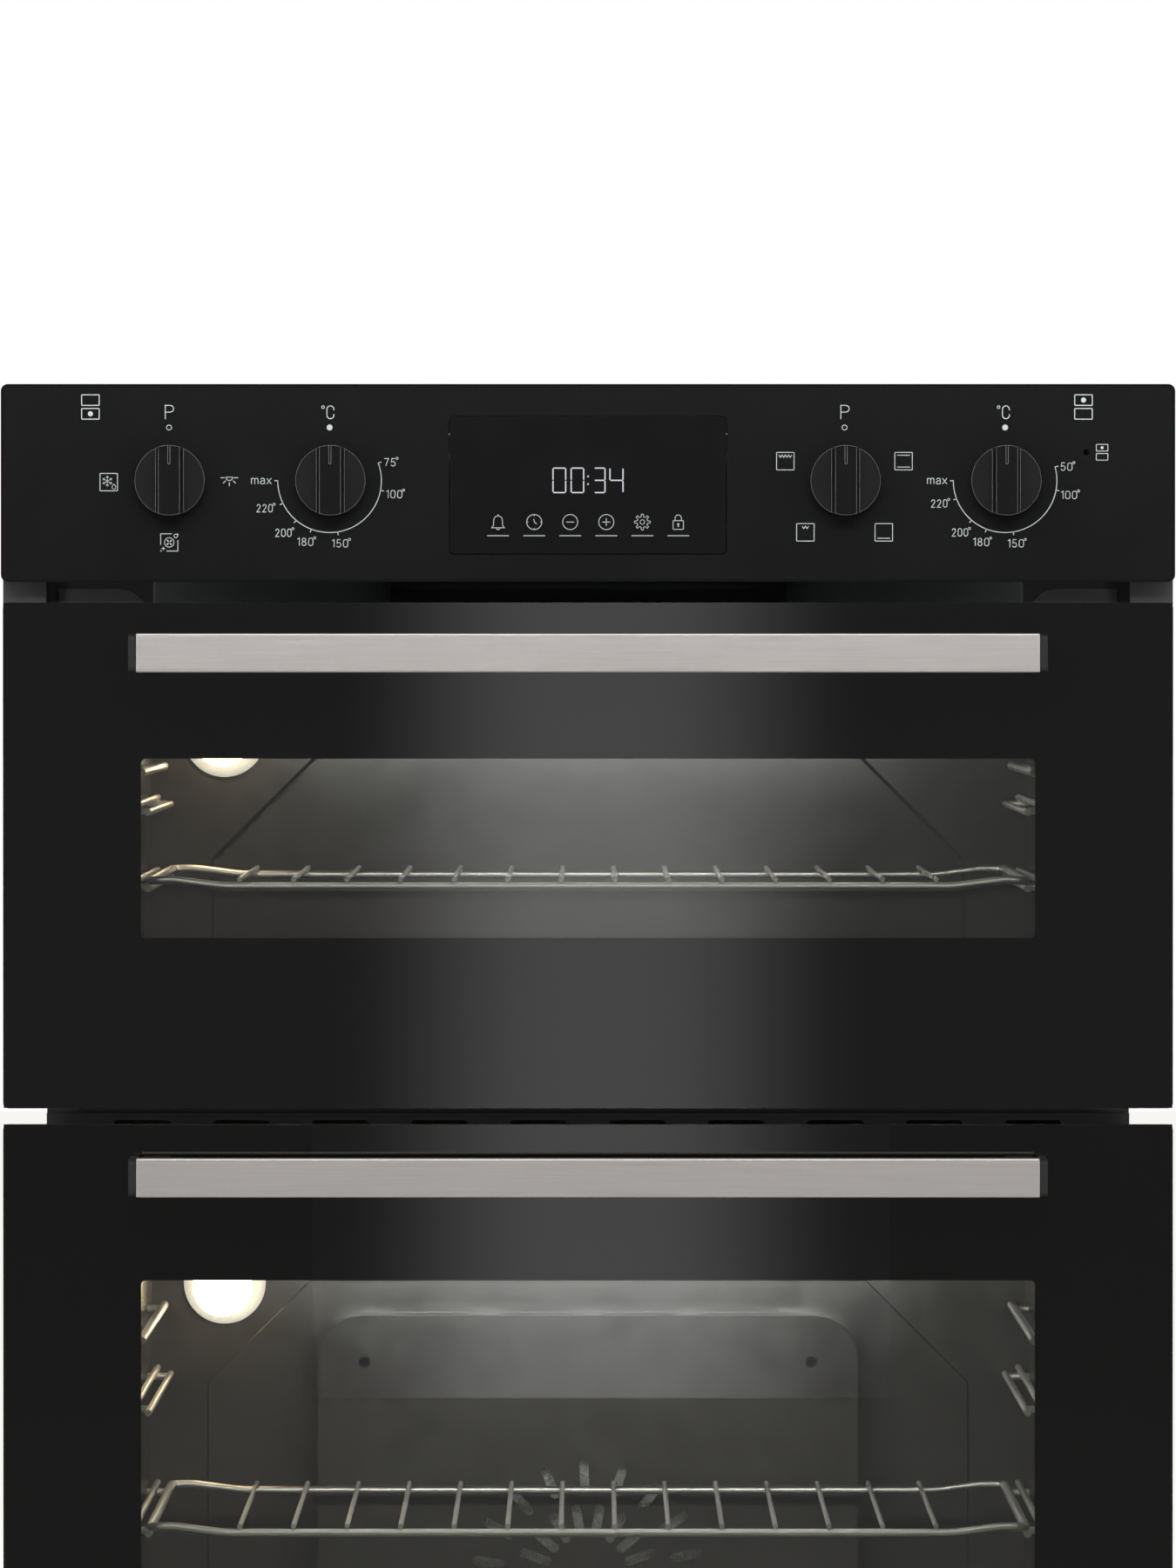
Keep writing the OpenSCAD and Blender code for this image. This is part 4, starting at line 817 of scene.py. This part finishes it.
def panelSymbols():
    s = symbols["line"]
    box = symbols["box"]
    faces = ovenIcon(-251.65, 876.4, 9.35, 5.8, 1.15, s, -1, 1.28)
    faces += ovenIcon(250.6, 876.4, 9.35, 5.8, 1.15, s, 1, 1.28)
    faces += ovenIcon(260.0, 853.5, 6.2, 3.7, 0.9, 0.34, 1, 0.75)
    for knob in ("main_function_knob", "top_function_knob"):
        x = dials[knob][0]
        bowl = [(x - 1.9, 877.2), (x + 0.6, 877.2)] + circle(x + 0.6, 875.5, 1.7, 10, 0, 180)[1:] + [(x - 1.9, 873.8)]
        faces += line([(x - 1.9, 870.2), (x - 1.9, 877.5)], 0.4) + line(bowl, 0.4)
        faces += line(circle(x, 866.0, 1.25, 22), 0.36, closed=True)
    for knob in ("main_temperature_knob", "top_temperature_knob"):
        x = dials[knob][0]
        top = circle(x + 0.4, 875.2, 1.75, 8, -90, 180)
        foot = circle(x + 0.4, 872.2, 1.75, 8, 90, 180)
        faces += line([(x + 2.15, 874.7)] + top[::-1] + [(x - 1.35, 872.2)]
                      + foot[::-1] + [(x + 2.15, 872.7)], 0.44)
        faces += line(circle(x - 3.3, 876.3, 0.7, 14), 0.34, closed=True)
        faces.append(circle(x, 866.0, 1.5, 24))

    faces += temperatureArc("main_temperature_knob", 70, (70, 100.7, 171, 200.6, 220.2, 244.2, 270))
    for text, x, z in (("75", -100.3, 848.4), ("100", -98.1, 832.3), ("150", -125.5, 807.4), ("180", -143.1, 808.2),
                       ("200", -154.1, 812.8), ("220", -163.6, 825.2)):
        faces += degrees(text, x, z)
    faces += letters("max", -165.2, 838.9, 10.4, 3.3)
    faces += temperatureArc("top_temperature_knob", 74.6, (74.6, 100.6, 171, 201, 220.3, 249.6, 270))
    for text, x, z in (("50", 242.0, 846.2), ("100", 243.2, 831.9), ("150", 216.3, 807.4), ("180", 198.8, 808.1),
                       ("200", 188.1, 813.0), ("220", 177.6, 827.6)):
        faces += degrees(text, x, z)
    faces += letters("max", 176.6, 838.9, 10.2, 3.3)

    # defrost: a snowflake and a drop
    x, z = -242.4, 838.4
    faces += frameIcon(x, z, box, box, 0.4) + snowflake(x - 0.7, z + 0.5, 2.8, 0.28)
    drop = [(x + 2.6, z - 0.9)] + circle(x + 2.6, z - 2.6, 0.95, 12, 50, 260)
    faces += line(drop, 0.26, closed=True)
    # lamp: a ceiling line, a dome and rays
    x, z = -181.4, 840.6
    faces += line([(x - 4.5, z), (x - 2.3, z)], 0.4) + line([(x + 2.3, z), (x + 4.5, z)], 0.4)
    faces += line(circle(x, z + 0.3, 1.7, 12, 90, 180) + [(x - 1.7, z + 0.3)], 0.34, closed=True)
    for turn in (-48, 0, 48):
        a, c = heading(turn)
        faces += line([(x + 2.5 * a, z - 2.3 * c), (x + 4.4 * a, z - 4.2 * c)], 0.4)
    # cleaning: a fan in a broken frame with a spark
    x, z = -211.8, 807.9
    h = box / 2 - 0.25
    faces += line([(x - h, z - h + 3.2), (x - h, z + h), (x + h - 3, z + h)], 0.38)
    faces += line([(x + h, z + h - 3.2), (x + h, z - h), (x - h + 3, z - h)], 0.38)
    faces += line(circle(x, z, 2.4, 24), 0.32, closed=True)
    for turn in (45, 135, 225, 315):
        a, c = heading(turn)
        faces.append([(x + 0.25 * a, z + 0.25 * c), (x + 1.3 * a + 0.5 * c, z + 1.3 * c - 0.5 * a),
                      (x + 1.8 * a, z + 1.8 * c), (x + 1.3 * a - 0.35 * c, z + 1.3 * c + 0.35 * a)])
    for cx, cz, r in ((x - 3.0, z - 3.1, 1.1), (x - 4.2, z - 4.3, 0.55)):
        faces.append([(cx + (r if i % 2 == 0 else 0.3 * r) * math.sin(math.pi * i / 4),
                       cz + (r if i % 2 == 0 else 0.3 * r) * math.cos(math.pi * i / 4)) for i in range(8)])
    faces += line(circle(x + 3.3, z + 3.3, 0.9, 12), 0.35, closed=True)
    faces += line([(x + 3.9, z + 4.5), (x + 4.6, z + 3.8)], 0.4)

    thin = symbols["iconLine"]
    # top oven: full grill, top and bottom heat, small grill, bottom heat
    x, z = 99.8, 849.0
    zigzag = [(x - 3.3 + 0.825 * i, z + (3.1 if i % 2 == 0 else 1.9)) for i in range(9)]
    faces += frameIcon(x, z, box, box, thin) + line(zigzag, thin)
    x, z = 159.6, 849.0
    faces += frameIcon(x, z, box, box, thin)
    for level in (3.0, -3.0):
        faces += line([(x - 3.3, z + level), (x + 3.3, z + level)], thin)
    x, z = 109.95, 813.0
    zigzag = [(x - 1.65 + 0.825 * i, z + (3.1 if i % 2 == 0 else 1.9)) for i in range(5)]
    faces += frameIcon(x, z, box, box, thin) + line(zigzag, thin)
    x, z = 149.6, 813.0
    faces += frameIcon(x, z, box, box, thin) + line([(x - 3.3, z - 3.0), (x + 3.3, z - 3.0)], thin)
    return faces


clock = {"top": 845.5, "foot": 833.1, "gap": 0.25, "line": 0.62, "dot": 0.45}


def clockDigits():
    # seven-segment figures: which of top, upper right, lower right, bottom, lower left, upper left, middle are lit
    figures = {"0": "abcdef", "3": "abcdg", "4": "bcfg"}
    faces = []
    top, foot, gap = clock["top"], clock["foot"], clock["gap"]
    middle = (top + foot) / 2
    for figure, left, right in (("0", -17.7, -11.3), ("0", -8.5, -2.2), ("3", 3.2, 8.6), ("4", 11.1, 17.7)):
        strokes = {"a": [(left + gap, top), (right - gap, top)], "b": [(right, top - gap), (right, middle + gap)],
                   "c": [(right, middle - gap), (right, foot + gap)], "d": [(left + gap, foot), (right - gap, foot)],
                   "e": [(left, middle - gap), (left, foot + gap)], "f": [(left, top - gap), (left, middle + gap)],
                   "g": [(left + gap, middle), (right - gap, middle)]}
        for part in figures[figure]:
            faces += line(strokes[part], clock["line"])
    for z in (841.3, 837.4):
        faces.append(circle(0, z, clock["dot"], 12))
    return faces


touch = {"places": [-45.5, -27.2, -9.0, 9.25, 27.5, 45.65], "height": 818.2, "line": 0.36,
         "underline": (811.3, 5.5, 0.62)}  # height, half length and stroke


def underlines():
    z, half, stroke = touch["underline"]
    return [face for x in touch["places"] for face in line([(x - half, z), (x + half, z)], stroke)]


def touchSymbols():
    z = touch["height"]
    w = touch["line"]
    faces = []
    places = touch["places"]
    x = places[0]  # bell
    bell = [(x - 3.2, z - 2.9), (x - 2.3, z - 1.7), (x - 2.2, z + 0.8)] + circle(x, z + 0.9, 2.2, 10, -90, 180)[1:-1] \
        + [(x + 2.2, z + 0.8), (x + 2.3, z - 1.7), (x + 3.2, z - 2.9)]
    faces += line(bell, w, closed=True) + line(circle(x, z - 3.0, 0.85, 8, 90, 180), w)
    faces += line([(x, z + 3.2), (x, z + 3.9)], w)
    x = places[1]  # clock
    faces += line(circle(x, z, 3.8, 36), w, closed=True)
    for turn in (0, 90, 180, 270):
        a, c = heading(turn)
        faces += line([(x + 3.0 * a, z + 3.0 * c), (x + 3.7 * a, z + 3.7 * c)], 0.35)
    faces += line([(x - 0.3, z + 1.6), (x + 0.1, z), (x + 1.3, z - 1.1)], w)
    for i in (2, 3):  # less and more
        x = places[i]
        faces += line(circle(x, z, 3.8, 36), w, closed=True) + line([(x - 2.0, z), (x + 2.0, z)], w)
    for a, b in (((0, 0.25), (0, 2.0)), ((0, -0.25), (0, -2.0))):
        faces += line([(places[3] + a[0], z + a[1]), (places[3] + b[0], z + b[1])], w)
    x = places[4]  # gear
    rim = []
    for i in range(8):
        for turn, r in ((-13, 2.7), (-7, 4.0), (7, 4.0), (13, 2.7)):
            a, c = heading(45 * i + turn)
            rim.append((x + r * a, z + r * c))
    faces += line(rim, 0.3, closed=True) + line(circle(x, z, 1.15, 20), 0.3, closed=True)
    x = places[5]  # padlock
    faces += line(roundRect(x, z - 1.5, 5.2, 4.4, 0.3, 2), w, closed=True)
    faces += line([(x - 1.6, z + 0.8), (x - 1.6, z + 2.0)] + circle(x, z + 2.0, 1.6, 12, -90, 180)[1:-1]
                  + [(x + 1.6, z + 2.0), (x + 1.6, z + 0.8)], w)
    faces += [circle(x, z - 1.1, 0.55, 12)] + line([(x, z - 1.4), (x, z - 2.5)], 0.55)
    return faces


panelInk = {"thickness": 0.03, "proud": 0.04}  # mm
for name, faces, material, slot in (("panel_symbols", panelSymbols(), palePrint, "panel_black"),
                                    ("clock_digits", clockDigits(), digitGlow, "display_glass"),
                                    ("touch_symbols", touchSymbols(), iconGlow, "display_glass"),
                                    ("touch_underlines", underlines(), markGlow, "display_glass")):
    addPrint(name, faces, panelFront - panelInk["proud"] * mm, panelInk["thickness"], material, "chassis")
print("panel printed")

# doors: black print behind the glass, with a clear window

window = {
    "halfWidth": 226.25, "above": 79.0, "below": 86.2, "corner": 2.5,
    "inset": 0.12,      # from the pane's edge to the print inside it
    "faceInset": 0.6,   # from the pane's edge to the gloss face
    "innerGrow": 7,     # how much larger the inner pane's window is
    "innerCorner": 8,
    "printGap": 0.25, "printThickness": 0.1,   # the print's distance from its face of the pane
    "faceGap": 0.03, "faceThickness": 0.02,
}


def borderPlate(low, high, edge, hole, radius, steps=6):
    # a sheet with a rounded rectangular hole: flat cells round it and a fan in each corner of it
    x0, x1, z0, z1 = hole
    xs = [low.x + edge, x0, x0 + radius, x1 - radius, x1, high.x - edge]
    zs = [low.z + edge, z0, z0 + radius, z1 - radius, z1, high.z - edge]
    faces = [[(xs[i], zs[j]), (xs[i + 1], zs[j]), (xs[i + 1], zs[j + 1]), (xs[i], zs[j + 1])]
             for i in range(5) for j in range(5) if i in (0, 4) or j in (0, 4)]
    for x, z, sx, sz in ((x0, z0, 1, 1), (x1, z0, -1, 1), (x1, z1, -1, -1), (x0, z1, 1, -1)):
        ways = [heading(90 * i / steps) for i in range(steps + 1)]
        arc = [(x + sx * radius * (1 - a), z + sz * radius * (1 - c)) for a, c in ways]
        for i in range(steps):
            corner = [(x, z), arc[i], arc[i + 1]]
            faces.append(corner if sx * sz < 0 else corner[::-1])
    return faces


def printDoor(oven):
    low, high = (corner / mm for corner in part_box(f"{oven}_outer_glass"))
    base, top = low.z + window["below"], high.z - window["above"]
    half, grow = window["halfWidth"], window["innerGrow"]
    hole = (-half, half, base, top)
    faces = borderPlate(low, high, window["inset"], hole, window["corner"])
    addPrint(f"{oven}_door_print", faces, (high.y - window["printGap"]) * mm, window["printThickness"], blackPrint,
             f"{oven}_door")
    faces = borderPlate(low, high, window["faceInset"], hole, window["corner"])
    addPrint(f"{oven}_door_face", faces, (low.y - window["faceGap"]) * mm, window["faceThickness"], glassFace,
             f"{oven}_door")
    low, high = (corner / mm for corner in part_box(f"{oven}_inner_glass"))
    hole = (-half - grow, half + grow, base - grow, top + grow)
    faces = borderPlate(low, high, window["inset"], hole, window["innerCorner"])
    addPrint(f"{oven}_inner_print", faces, (low.y + window["printGap"]) * mm, window["printThickness"], blackPrint,
             f"{oven}_door")


for oven in ("top", "main"):
    printDoor(oven)
print("doors printed")
